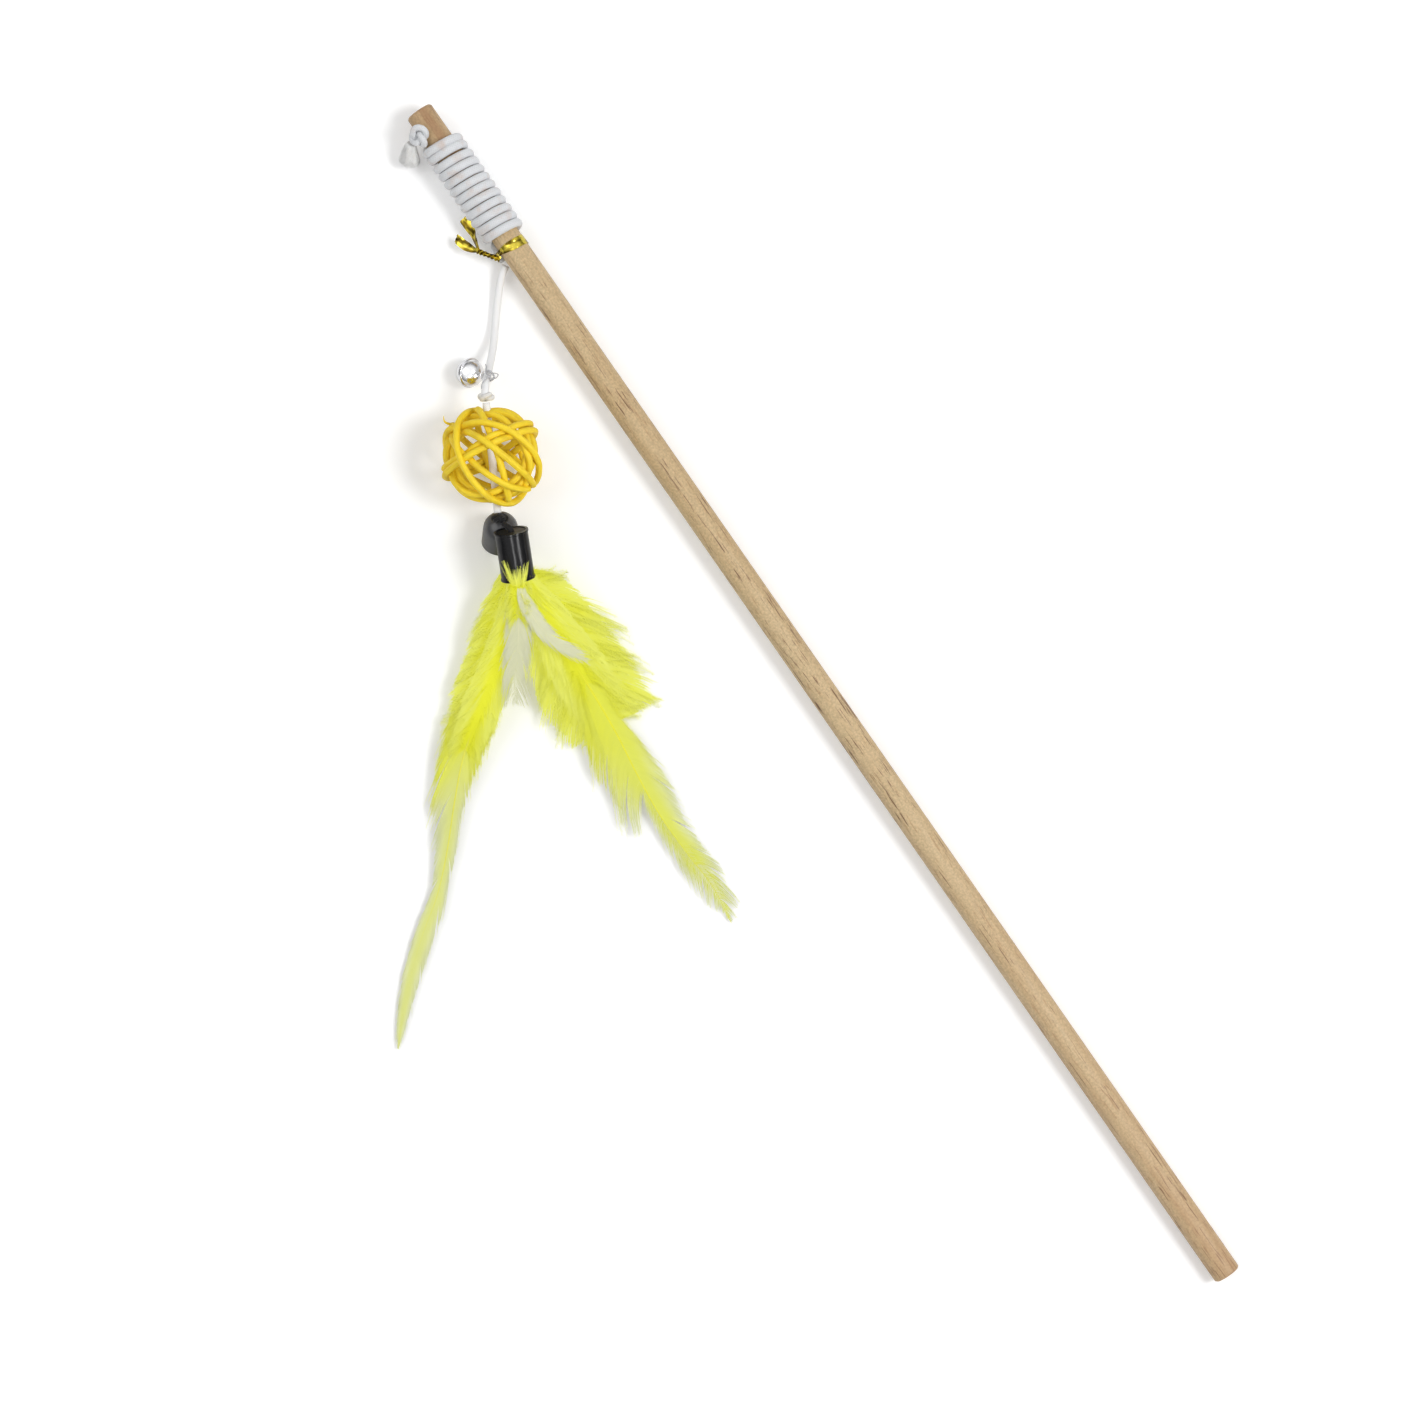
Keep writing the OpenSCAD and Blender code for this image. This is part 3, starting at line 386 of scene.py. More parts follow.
def on_rod(s, y, z):
    """A place in the rod's own frame, in millimetres from its tip, given in the toy's frame."""
    return rod_tip + rod_way(s, y, z) / 1000


def rod_way(s, y, z):
    """A direction in the rod's own frame, given in the toy's frame."""
    return Matrix.Rotation(rod_tilt, 3, 'Y') @ Vector((s, y, z))


hole_at, wrap_r, wrap_from, pitch, turns = 6.4, 5.15, 11.2, 2.66, 12
hole_turn, hole_from, bend_in = math.radians(45), -4, 3.2
run_turn, run_out = math.radians(150), 3.4
exit_bend = (wrap_r ** 2 - bend_in ** 2) / (2 * wrap_r)
leaving = math.atan2(exit_bend, bend_in)
begins, ends_at = -hole_turn - leaving, -2 * math.pi * turns - run_turn
rise = math.atan(pitch / (2 * math.pi * wrap_r))
run_bend, step = 1.9, math.radians(7.5)
bend_at = ends_at + run_bend * (1 - math.sin(rise)) / wrap_r
bend_s = wrap_from + pitch * (-math.pi - bend_at) / (2 * math.pi)
route, facing = [], []


def lay(s, a, r=wrap_r):
    """Adds a point to the winding's line, at an angle round the rod, and the way it faces."""
    route.append(on_rod(s, r * math.cos(a), r * math.sin(a)))
    facing.append(rod_way(0, math.cos(a), math.sin(a)))


def lay_in_hole(out, side, b=0.0):
    """Adds a point in the cross hole or in the bend out of it, and the way it faces."""
    c, d = math.cos(hole_turn), math.sin(hole_turn)
    route.append(on_rod(hole_at, out * c + side * d, -out * d + side * c))
    facing.append(rod_way(0, math.sin(b) * c + math.cos(b) * d, math.cos(b) * c - math.sin(b) * d))


for u in range(3):
    lay_in_hole(hole_from + (bend_in - hole_from) * u / 3, 0)
b = 0.0
while b < math.pi / 2 + leaving - step / 2:
    lay_in_hole(bend_in + exit_bend * math.sin(b), exit_bend * (math.cos(b) - 1), b)
    b += step
a = begins
while a > bend_at + step / 2:
    if a > -math.pi:
        u = (begins - a) / (begins + math.pi)
        s = hole_at + (wrap_from - hole_at) * u * u * (3 - 2 * u)
    else:
        s = wrap_from + pitch * (-math.pi - a) / (2 * math.pi)
        s += 0.10 * noise.noise(Vector((a * 0.35, 3.7, 0.2)))
        s -= 0.55 * math.exp(-((a + 3.45 * math.pi) / 2.2) ** 2) * (0.75 + 0.25 * math.cos(a + 0.9))
    lay(s, a, wrap_r + 0.04 * noise.noise(Vector((a * 0.5, 0.4, 5.1))))
    a -= step
b = rise
while b < math.pi / 2 - step / 2:
    lay(bend_s + run_bend * (math.cos(rise) - math.cos(b)),
        bend_at - run_bend * (math.sin(b) - math.sin(rise)) / wrap_r)
    b += step
for u in range(4):
    lay(bend_s + run_bend * math.cos(rise) + run_out * u / 3, ends_at)
widths = [CORD_R * (1 + 0.03 * noise.noise(Vector((i * 0.11, 0.5, 2.2))))
          for i in range(len(route))]
# The wound cord is painted greyer than the free lead, which is the same white cord: painted shade.
# Its brown stains are handling marks.
winding_cord = cord_finish("wound elastic cord", (0.70, 0.715, 0.735), (0.58, 0.42, 0.33), 0.55,
                           0.0007)
winding = tube("wound_cord", route, widths, sides=16, up=facing, flat=1.13)
dress(winding, winding_cord, "rod", "cord_winding")


# The knot that stops the cord at the cross hole, pulled tight, and the cord's cut tail, whose
# cover has frayed into a brush of soft white fibres round the rubber threads.
def tight_knot(name, middle, toward, up, width, strand, swell=1.0):
    """A three-lobed knot in one closed strand, its axis along toward."""
    axis = Vector(toward).normalized()
    first = (Vector(up) - Vector(up).dot(axis) * axis).normalized()
    second = axis.cross(first)
    core, lobe, count = 0.264 * width, 0.129 * width * swell, 120
    line, out = [], []
    for k in range(count):
        t = 2 * math.pi * k / count
        r = core + lobe * math.cos(3 * t)
        bend = noise.noise(Vector((math.cos(t) * 1.3, math.sin(t) * 1.3, width * 900)))
        bend *= 0.06 * width
        round_it = math.cos(2 * t) * first + math.sin(2 * t) * second
        line.append(middle + (r + bend) * round_it + lobe * math.sin(3 * t) * axis)
        out.append(math.cos(3 * t) * round_it + math.sin(3 * t) * axis)
    return tube(name, line, strand, sides=14, closed=True, up=out)


def box_middle(name):
    """The middle of a CAD node's box."""
    low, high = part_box(name)
    return (Vector(low) + Vector(high)) / 2


knot_out = rod_way(0, -math.cos(hole_turn), math.sin(hole_turn))
stopper = tight_knot("stopper_knot_cord", box_middle("stopper_knot"), knot_out, rod_way(1, 0, 0),
                     0.0070, 0.00088, 0.98)
dress(stopper, winding_cord, "rod", "stopper_knot")


def strands(centres, halves, normals, maps):
    """Three-sided strands, one for each row of centres, with flat ends."""
    count, rings, _ = centres.shape
    ahead = np.gradient(centres, axis=1)
    ahead /= np.linalg.norm(ahead, axis=2, keepdims=True) + 1e-12
    across = np.cross(ahead, normals)
    across /= np.linalg.norm(across, axis=2, keepdims=True) + 1e-12
    above = np.cross(across, ahead)
    thickest = 0.00005
    wide, thick = halves[..., None], np.minimum(halves, thickest)[..., None]
    ring = np.stack([centres - across * wide, centres + across * wide, centres + above * thick],
                    axis=2)
    first = (np.arange(count) * rings * 3)[:, None, None]
    step = (np.arange(rings - 1) * 3)[None, :, None]
    sides = []
    for a, b in ((0, 1), (1, 2), (2, 0)):
        low, high = first + step + a, first + step + b
        sides += [np.concatenate([low, low + 3, high], 2),
                  np.concatenate([high, low + 3, high + 3], 2)]
    ends = [np.concatenate([first[:, 0] + 0, first[:, 0] + 1, first[:, 0] + 2], 1),
            np.concatenate([first[:, 0] + 3 * rings - 3, first[:, 0] + 3 * rings - 1,
                            first[:, 0] + 3 * rings - 2], 1)]
    triangles = np.concatenate([s.reshape(-1, 3) for s in sides] + ends)
    facing_way = np.stack([normals - 0.45 * across, normals + 0.45 * across, normals], axis=2)
    maps = np.repeat(maps.reshape(-1, 2), 3, axis=0)
    return ring.reshape(-1, 3), triangles, maps, facing_way.reshape(-1, 3)


def merged(name, parts):
    """One piece from lists of vertex, face, UV and normal arrays."""
    starts = np.cumsum([0] + [len(part[0]) for part in parts])
    points, maps, ways = (np.concatenate([part[k] for part in parts]) for k in (0, 2, 3))
    faces = np.concatenate([part[1] + start for part, start in zip(parts, starts)])
    ways /= np.linalg.norm(ways, axis=1, keepdims=True) + 1e-12
    mesh = bpy.data.meshes.new(name)
    mesh.from_pydata(points.tolist(), [], faces.tolist())
    layer = mesh.uv_layers.new(name="UVMap")
    layer.data.foreach_set("uv", maps[faces.reshape(-1)].reshape(-1).astype(np.float32))
    mesh.shade_smooth()
    mesh.update()
    mesh.normals_split_custom_set_from_vertices(ways.tolist())
    return piece_of(name, mesh)


tail_low, tail_high = (Vector(c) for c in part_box("cord_tail"))
tail_from = Vector((tail_low.x + 0.0011, tail_high.y - 0.0012, tail_high.z - 0.0011))
tail_to = Vector((tail_high.x - 0.0020, tail_low.y + 0.0012, tail_low.z + 0.0010))
tail_line = spline([tail_from, tail_from.lerp(tail_to, 0.3) + Vector((-0.0004, 0, 0.0004)),
                    tail_from.lerp(tail_to, 0.65) + Vector((-0.0002, 0, 0.0003)), tail_to], 6)
tail_radii = [CORD_R * (1.0 + 1.25 * min(1, i / 14) ** 1.2) * (1 if i < 16 else 0.86)
              for i in range(17)]
tail = tube("cord_tail_core", tail_line[:17], tail_radii, sides=20, flat=1.12, lobes=7, groove=0.06)
tail_cord = cord_finish("frayed white cord", (0.80, 0.80, 0.79), (0.66, 0.60, 0.50), 0.5)
dress(tail, tail_cord, "rod", "cord_tail")
# The brush: short fibres that leave the cut cord all along and spread to its end
LOWEST = 0.0004
chance = np.random.RandomState(5)
tail_points = np.array([tuple(p) for p in tail_line])
tail_way = np.array((tail_to - tail_from).normalized())
tail_side = np.cross(tail_way, (0, 0, 1.0))
tail_side /= np.linalg.norm(tail_side)
tail_top = np.cross(tail_side, tail_way)
count, rings = 1500, 7
share = np.linspace(0, 1, rings)[None, :]
starts = chance.uniform(0.0, 0.85, count)
reach = starts[:, None] + share * (chance.uniform(0.15, 0.34, count)[:, None])
place_at = np.clip(reach, 0, 1) * (len(tail_points) - 1)
low = np.minimum(place_at.astype(int), len(tail_points) - 2)
line = tail_points[low] + (tail_points[low + 1] - tail_points[low]) * (place_at - low)[..., None]
line += tail_way * (np.maximum(reach - 1, 0) * 0.0058)[..., None]
angle = chance.uniform(0, 2 * math.pi, count)[:, None] + chance.normal(0, 0.35, (count, 1)) * share
fan = np.interp(reach, np.linspace(0, 1, 17), tail_radii)
fan = fan * (0.98 + 0.16 * share * chance.uniform(0, 1, (count, 1)))
line += (tail_side * (np.cos(angle) * fan * 1.12)[..., None]
         + tail_top * (np.sin(angle) * fan)[..., None])
line += chance.normal(0, 0.00004, line.shape)
line[..., 2] = np.maximum(line[..., 2], LOWEST)
halves = 0.00009 * (1 - 0.7 * share) * np.ones((count, 1))
maps = np.stack([line[..., 0], np.broadcast_to(share, reach.shape)], axis=-1)
outwards = tail_side * np.cos(angle)[..., None] + tail_top * np.sin(angle)[..., None]
fray = merged("cord_tail_fray", [strands(line, halves, outwards, maps)])
m = Finish("frayed fibres", Roughness=0.6, Sheen_Weight=0.3)
tone = m.mix(m.cloud(m.place(), 900.0, 2.0), (0.84, 0.84, 0.82), (0.95, 0.95, 0.95))
fray_white = m.done(Base_Color=tone)
dress(fray, fray_white, "rod", "cord_tail")


# The twist tie: a strip of gold foil on paper, creased, laid once round rod and cord, twisted
# together at the lower side, with two crumpled ends.
m = Finish("gold foil", Metallic=1.0, Roughness=0.14)
uv = m.uv()
crease = m.put("TexVoronoi", {"feature": 'F1'}, Vector=m.place(), Scale=260.0).outputs[0]
crumple = m.cloud(m.stretch(uv, 260.0, 560.0, 1.0), 1.0, 1.0, 0.4, 0.3)
lines = m.cloud(m.stretch(uv, 300.0, 4200.0, 1.0), 1.0, 2.0)
height = m.calc('ADD', m.times(crumple, 0.8), m.times(lines, 0.12))
height = m.calc('ADD', m.times(crease, 0.5), height)
# The foil is painted dark brown in the dips of its crumples: painted shade.
tone = m.mix(m.ramp(crumple, 0.40, 0.56), (0.13, 0.085, 0.008), (0.70, 0.56, 0.07))
gold_foil = m.done(Base_Color=tone, Roughness=m.ramp(crumple, 0.3, 0.7, 0.08, 0.26),
                   Normal=m.bump(height, 0.32, 0.0006))


def foil_strip(name, centre, sides_at, halves, crumples, seed):
    """A creased strip of foil: centre points, the direction across at each, half widths."""
    across, width, thick = 9, 0.003, 0.00007
    body = bmesh.new()
    layer = body.loops.layers.uv.new("UVMap")
    grid, reach = [], 0.0
    for i, point in enumerate(centre):
        if i:
            reach += (point - centre[i - 1]).length
        ahead = (centre[min(i + 1, len(centre) - 1)] - centre[max(i - 1, 0)]).normalized()
        side = (sides_at[i] - sides_at[i].dot(ahead) * ahead).normalized()
        out = ahead.cross(side)
        row = []
        for k in range(across):
            v = k / (across - 1) * 2 - 1
            fold = noise.noise(Vector((reach * 480, v * 1.9, seed))) + 0.25 * noise.noise(
                Vector((reach * 1100, v * 2.6, seed + 7)))
            row.append(body.verts.new(point + side * halves[i] * v + out * fold * crumples[i]))
        grid.append((row, reach))
    for (row, u), (beyond, w) in zip(grid, grid[1:]):
        for k in range(across - 1):
            face = body.faces.new((row[k], row[k + 1], beyond[k + 1], beyond[k]))
            for loop, uv_at in zip(face.loops, ((u, k), (u, k + 1), (w, k + 1), (w, k))):
                loop[layer].uv = (uv_at[0], uv_at[1] / across * width)
    piece = piece_of(name, body)
    piece.select_set(True)
    bpy.context.view_layer.objects.active = piece
    wall = piece.modifiers.new("wall", 'SOLIDIFY')
    wall.thickness = thick
    wall.offset = 0.0
    bpy.ops.object.modifier_apply(modifier="wall")
    bpy.ops.object.shade_smooth_by_angle(angle=math.radians(40))
    bpy.ops.object.select_all(action='DESELECT')
    return piece


# The band follows the rod and, at its lower side, the cord beside it. It is widest on the
# far side and narrows to where its ends are twisted together.
rod_r, cord_r, foil_off, band_at, twist_at = 4, 1000 * CORD_R, 0.19, 46.35, 46.45
run_y, run_z = wrap_r * math.cos(ends_at), wrap_r * math.sin(ends_at)
flank = -run_turn - math.acos((rod_r - cord_r) / wrap_r)
band_line, band_sides, band_halves, band_creases = [], [], [], []
for k in range(97):
    turn = k / 96
    a = flank - 0.02 + (2 * math.pi + 0.04) * turn
    y, z = math.cos(a), math.sin(a)
    if run_y * y + run_z * z + cord_r > rod_r:
        out_y, out_z = run_y + (cord_r + foil_off) * y, run_z + (cord_r + foil_off) * z
    else:
        out_y, out_z = (rod_r + foil_off) * y, (rod_r + foil_off) * z
    near_twist = max(0.0, 1 - min(turn, 1 - turn) / 0.2)
    s = band_at + 0.25 * math.cos(a) - 0.25 * near_twist
    band_line.append(on_rod(s, out_y, out_z))
    band_sides.append(rod_way(1, 0.05, 0))
    band_halves.append(0.0015 - 0.0008 * near_twist ** 1.3)
    band_creases.append(0.00010 + 0.00012 * near_twist)
band = foil_strip("tie_band_foil", band_line, band_sides, band_halves, band_creases, 3.1)
dress(band, gold_foil, "rod", "tie_band")


def towards(turn, drop):
    """A direction turned from the rod's and sloping down, both in degrees."""
    turn, drop = math.radians(turn), math.radians(drop)
    level = math.cos(drop)
    return rod_way(math.cos(turn) * level, math.sin(turn) * level, -math.sin(drop))


twist_out = (rod_r + cord_r) / 2 + 1.31
twist_from = on_rod(twist_at, run_y / 2 + twist_out * math.cos(flank),
                    run_z / 2 + twist_out * math.sin(flank))
twist_way = towards(214, 12)
up_way = Vector((0, 0, 1))
across_way = twist_way.cross(up_way).normalized()
for i, phase in enumerate((0.0, math.pi / 2)):
    line = [twist_from + twist_way * (-0.0012 + 0.0070 * k / 40) for k in range(41)]
    angles = [3 * math.pi * k / 40 + phase for k in range(41)]
    sides = [math.cos(a) * across_way + math.sin(a) * up_way for a in angles]
    halves = [0.0007 + 0.0002 * abs(k / 20 - 1) for k in range(41)]
    ply = foil_strip("tie_twist_foil_%d" % (i + 1), line, sides, halves, [0.00008] * 41, 9.4 + i)
    dress(ply, gold_foil, "rod", "tie_twist")
knot_end = twist_from + twist_way * 0.0056
for name, node, way, length, roll, bow, seed in (
        ("tie_tail_outer_foil", "tie_tail_outer", towards(203, 15), 0.0078, 18, -0.0005, 1.7),
        ("tie_tail_inner_foil", "tie_tail_inner", towards(170, 7), 0.0104, 38, 0.0007, 6.3)):
    flat = way.cross(up_way).normalized()
    line = [knot_end + way * length * k / 44 + flat * bow * math.sin(math.pi * k / 44)
            + up_way * 0.00025 * math.sin(9 * k / 44) for k in range(45)]
    sides = []
    for k in range(45):
        tilt_now = math.radians(roll + 26 * math.sin(5.5 * k / 44 + seed))
        sides.append(math.cos(tilt_now) * flat + math.sin(tilt_now) * up_way)
    halves = [0.0006 + 0.00075 * min(1.0, k / 20) for k in range(45)]
    creases = [0.00012 + 0.00022 * k / 44 for k in range(45)]
    dress(foil_strip(name, line, sides, halves, creases, seed), gold_foil, "rod", node)


# The bell's thread: a thin white thread, doubled, that goes round the cord and through the
# bell's loop and is tied there in a small loose bow.
m = Finish("white sewing thread", Roughness=0.5, Sheen_Weight=0.3)
drawn = m.stretch(m.uv(), 2200.0, 900.0, 1.0)
plies = m.put("TexWave", {"bands_direction": 'DIAGONAL'}, Vector=drawn, Scale=0.5).outputs[1]
# The thread is painted darker between its twisted plies: painted shade.
thread_white = m.done(Base_Color=m.mix(plies, (0.30, 0.30, 0.32), (0.66, 0.66, 0.68)),
                      Normal=m.bump(plies, 0.4, 0.00005))
loops = [[(-128.45, 47.62, 6.0), (-128.4, 47.66, 7.4), (-128.4, 47.8 + 0.2 * swing, 9.2),
          (-128.3, 49.2 + swing, 12.8), (-127.1 + swing, 49.9 + swing / 2, 15.0),
          (-125.9 + swing, 50.0 - swing / 2, 15.4), (-125.5, 48.9 - swing, 13.4),
          (-126.0, 47.5 - swing, 11.0), (-127.5, 47.2, 10.4), (-128.4, 47.9, 9.2)]
         for swing in (0.0, 0.5)]
loose_ends = [[(-127.1, 49.8, 15.0), (-126.2, 50.9, 16.0), (-125.5, 51.2, 16.0),
               (-125.1, 50.4, 15.8), (-125.5, 49.4, 15.6), (-126.4, 48.7, 15.5),
               (-127.0, 48.0, 15.3)],
              [(-126.8, 49.6, 15.2), (-126.5, 48.4, 15.4), (-126.4, 47.2, 15.6),
               (-125.9, 46.0, 16.0), (-125.0, 45.2, 16.6)],
              [(-130.4, 50.0, 10.0), (-129.4, 49.7, 11.8), (-128.4, 48.9, 13.2),
               (-127.4, 48.7, 14.6), (-126.4, 49.4, 15.4)]]
for i, points in enumerate(loops + loose_ends):
    line = spline([Vector(p) / 1000 for p in points], 8)
    thick = 0.00025 if points in loops else 0.00017
    thread = tube("bell_thread_%d" % (i + 1), line, thick, sides=8)
    dress(thread, thread_white, "lead", "bell_thread")

# The bell: two pressed shells of chromed sheet, crimped together, with a slot between round
# holes below, a riveted wire loop above and a loose steel pellet inside.
def smudge_effect():
    """Fingerprints and fine scratches on bright metal."""
    group = Effect("smudges", {"Place": (0, 0, 0), "Size": 600.0}, ["Smudge", "Scratch"])
    place = group.given["Place"]
    drawn = group.vector('MULTIPLY', place, (6000.0, 700.0, 3000.0))
    return group.done(Smudge=group.cloud(place, group.given["Size"], 4.0, 0.6, 0.8),
                      Scratch=group.cloud(drawn, 1.0, 1.0))


smudges = smudge_effect()


def metal(name, colour, dull, low, high):
    """Metal with duller smudges, its roughness between low and high, and finely scratched."""
    m = Finish(name, Metallic=1.0)
    marks = m.use(smudges, Place=m.place(), Size=520.0)
    rough = m.ramp(marks["Smudge"], 0.35, 0.7, low, high)
    tone = m.mix(m.ramp(marks["Smudge"], 0.56, 0.68, 0.0, 0.5), colour, dull)
    return m.done(Base_Color=tone, Roughness=m.ramp(marks["Scratch"], 0.6, 0.75, rough, high * 1.3))


chrome = metal("bell chrome", (0.86, 0.86, 0.88), (0.66, 0.64, 0.64), 0.13, 0.22)
dress_node("bell_bail", chrome)
dress_node("bell_pellet", metal("pellet steel", (0.46, 0.45, 0.44), (0.24, 0.20, 0.17), 0.3, 0.5))
bell_r, bell_wall, near = 0.004, 0.00045, 0.00002
shells = ("bell_upper_shell", "bell_lower_shell")
shell_corners = np.array([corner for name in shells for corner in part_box(name)])
bell_middle = Vector((shell_corners.min(axis=0) + shell_corners.max(axis=0)) / 2)
for name in shells:
    body, joined_within = bmesh.new(), 0.000001
    body.from_mesh(nodes[name].data)
    bmesh.ops.remove_doubles(body, verts=body.verts, dist=joined_within)
    shell = piece_of(name + "_chromed", body)
    mesh = shell.data
    mesh.shade_smooth()
    # Faces on the two spheres get the spheres' own normals, so that the chrome shows no facets.
    # The others stay flat.
    ways = [None] * len(mesh.loops)
    for face in mesh.polygons:
        corners = [mesh.vertices[k].co - bell_middle for k in face.vertices]
        outer = all(abs(c.length - bell_r) < near for c in corners)
        inner = all(abs(c.length - bell_r + bell_wall) < near for c in corners)
        for k, c in zip(face.loop_indices, corners):
            ways[k] = tuple(c.normalized() if outer else -c.normalized() if inner else face.normal)
    mesh.normals_split_custom_set(ways)
    dress(shell, chrome, "bell", name)


# The ball is wound from dyed rattan: closed rounds of split cane laid over one another on one
# sphere, with a thin broken end standing out. It turns on the cord that runs through it.
def wound_strands(rounds, radius, strand):
    """Rounds of cane on a sphere, the earlier ones over the later, each pressed up or down where
    it crosses another. A round is given by its axis and by how far along the axis it lies."""
    count = 144
    bases, order = [], []
    for place_in, (normal, share) in enumerate(rounds):
        n = np.array(normal) / np.linalg.norm(normal)
        first = np.cross((0.3, 0.2, 1.0), n)
        first /= np.linalg.norm(first)
        second = np.cross(n, first)
        a = np.linspace(0, 2 * math.pi, count, endpoint=False)[:, None]
        flat = math.sqrt(1 - share * share)
        bases.append(share * n + flat * (np.cos(a) * first + np.sin(a) * second))
        order.append(np.full(count, len(rounds) - place_in))
    base, order = np.concatenate(bases), np.concatenate(order)
    apart = radius * np.linalg.norm(base[:, None] - base[None], axis=2)
    high, low = np.nonzero((apart < 2 * strand) & (order[:, None] > order[None]))
    need = np.sqrt(np.maximum((2 * strand) ** 2 - apart[high, low] ** 2, 0))
    lift = np.zeros(len(base))
    steps, last_steps, deepest, highest = 160, 20, -0.0024, 0.0009
    for step_at in range(steps):
        short = np.maximum(need - (lift[high] - lift[low]), 0)
        up, down = np.zeros(len(base)), np.zeros(len(base))
        np.maximum.at(up, high, short)
        np.maximum.at(down, low, short)
        lift = lift + 0.45 * (up - down)
        ring = lift.reshape(len(rounds), count)
        for _ in range(3 if step_at < steps - last_steps else 1):
            ring = 0.5 * ring + 0.25 * (np.roll(ring, 1, axis=1) + np.roll(ring, -1, axis=1))
        lift = np.clip(ring.reshape(-1) * 0.995, deepest, highest)
    return (base * (radius + lift)[:, None]).reshape(len(rounds), count, 3)


m = Finish("yellow cane", Roughness=0.6)
place = m.place()
fibres = m.cloud(m.stretch(m.uv(), 240.0, 4200.0, 1.0), 1.0, 3.0, 0.6)
# The deep orange is painted shade, laid along the fibre grooves of the cane and in soft patches.
painted_shade = m.calc('MAXIMUM', m.ramp(fibres, 0.5, 0.68, 0.0, 0.42),
              m.ramp(m.cloud(place, 210.0, 2.0), 0.5, 0.75, 0.0, 0.45))
height = m.calc('ADD', m.times(fibres, 1.2), m.times(m.cloud(place, 3800.0, 2.0), 0.4))
yellow_cane = m.done(Base_Color=m.mix(painted_shade, (0.93, 0.69, 0.018), (0.56, 0.33, 0.007)),
                     Normal=m.bump(height, 0.5, 0.00016))
axis_turn, ball_x, ball_y = math.radians(6), 54.6, -3.4
ball_at = in_lure(ball_x, ball_y, 15)
cane_rounds = [((-0.29, 0.77, 0.56), -0.01), ((0.71, -0.41, 0.58), -0.02),
               ((0.73, -0.67, 0.12), -0.03), ((0.93, 0.35, 0.14), -0.06),
               ((-0.72, 0.61, 0.34), -0.04), ((0.92, 0.37, 0.14), -0.21),
               ((0.20, -0.96, 0.17), 0.0), ((0.20, -0.56, 0.80), 0.04),
               ((-0.26, -0.18, 0.95), 0.09), ((-0.27, -0.18, 0.94), 0.30),
               ((-0.31, 0.0, 0.95), 0.12)]
turned = Matrix.Rotation(axis_turn + lure_turn, 3, 'Z')
ball_nodes = ["hoop_1", "hoop_2", "hoop_3", "hoop_4_front", "hoop_4_back", "hoop_5_front",
              "hoop_5_back", "hoop_6_front", "hoop_6_back"]
for i, line in enumerate(wound_strands(cane_rounds, 0.01325, 0.00094)):
    path = [ball_at + turned @ Vector(p) for p in line]
    thick = [0.00095 * (1 + 0.05 * noise.noise(Vector((k * 0.09, i * 3.3, 1.4))))
             for k in range(len(path))]
    outward = [p - ball_at for p in path]
    cane = tube("cane_round_%d" % (i + 1), path, thick, sides=16, closed=True, up=outward, lobes=5,
                groove=0.035)
    dress(cane, yellow_cane, "ball", ball_nodes[min(i, 8)])
twig_line = spline([(-0.1218, 0.0322, 0.0170), (-0.1228, 0.0315, 0.0178), (-0.1237, 0.0316, 0.0186),
                    (-0.1245, 0.0322, 0.0192)], 5)
thick = [0.00042 * (1 - 0.8 * k / 15) for k in range(16)]
twig = tube("cane_broken_end", twig_line, thick, sides=8)
dress(twig, yellow_cane, "ball", "hoop_1")

# The knots above and below the ball, tied in the elastic and in thin dark cord, and between
# them the elastic that runs through the ball and carries it.
axis_way = turned @ Vector((1, 0, 0))
dark_cord = cord_finish("thin dark cord", (0.014, 0.014, 0.015), (0.03, 0.028, 0.025), 0.4,
                        sheen=0.08)
for name, node, width, strand, swell, material in (
        ("upper_ball_knot", "ball_knot", 0.0050, 0.00068, 0.95, tail_cord),
        ("lower_ball_knot", "end_knot", 0.0042, 0.00055, 1.0, dark_cord)):
    knot = tight_knot(name, box_middle(node), axis_way, (0, 0, 1), width, strand, swell)
    dress(knot, material, "lead", node)
core_line = [ball_at + axis_way * (-0.0152 + 0.0310 * k / 30)
             + Vector((0, 0, 0.00012)) * math.sin(k * 0.7) for k in range(31)]
core = tube("ball_core_cord", core_line, CORD_R * 0.98, sides=16)
dress(core, white_cord, "lead", "cord_core")

# The end bead: a moulded dark bead with a domed end. Its thin cord comes down from the knot
# below the ball, runs through its bore and is knotted in the pocket of its flat end.
def scuffed(name, colour, low, high, coat, scuff, shine=0.4):
    """Dark glossy plastic or rubber with faint scuffs and a slightly uneven surface."""
    m = Finish(name, Coat_Weight=coat, Coat_Roughness=0.12, Specular_IOR_Level=shine)
    place = m.place()
    marks = m.use(smudges, Place=place, Size=330.0)
    return m.done(Base_Color=m.mix(m.ramp(marks["Scratch"], 0.62, 0.74, 0.0, 0.5), colour, scuff),
                  Roughness=m.ramp(marks["Smudge"], 0.3, 0.7, low, high),
                  Normal=m.bump(m.cloud(place, 240.0, 1.0), 0.25, 0.0004))


bead_plastic = scuffed("bead plastic", (0.055, 0.056, 0.060), 0.26, 0.42, 0.35, (0.11, 0.11, 0.12))
dress_node("end_bead", bead_plastic)


def in_hub(x, y, z):
    """A place measured from the floor under the knot below the ball, in millimetres."""
    below = 17.4
    return in_lure(ball_x + below * math.cos(axis_turn) + x,
                   ball_y + below * math.sin(axis_turn) + y, z)


def bezier(p, count):
    """Points along a curve with four control points, all but its last."""
    return [(1 - u) ** 3 * p[0] + 3 * u * (1 - u) ** 2 * p[1] + 3 * u * u * (1 - u) * p[2]
            + u ** 3 * p[3] for u in (k / count for k in range(count))]


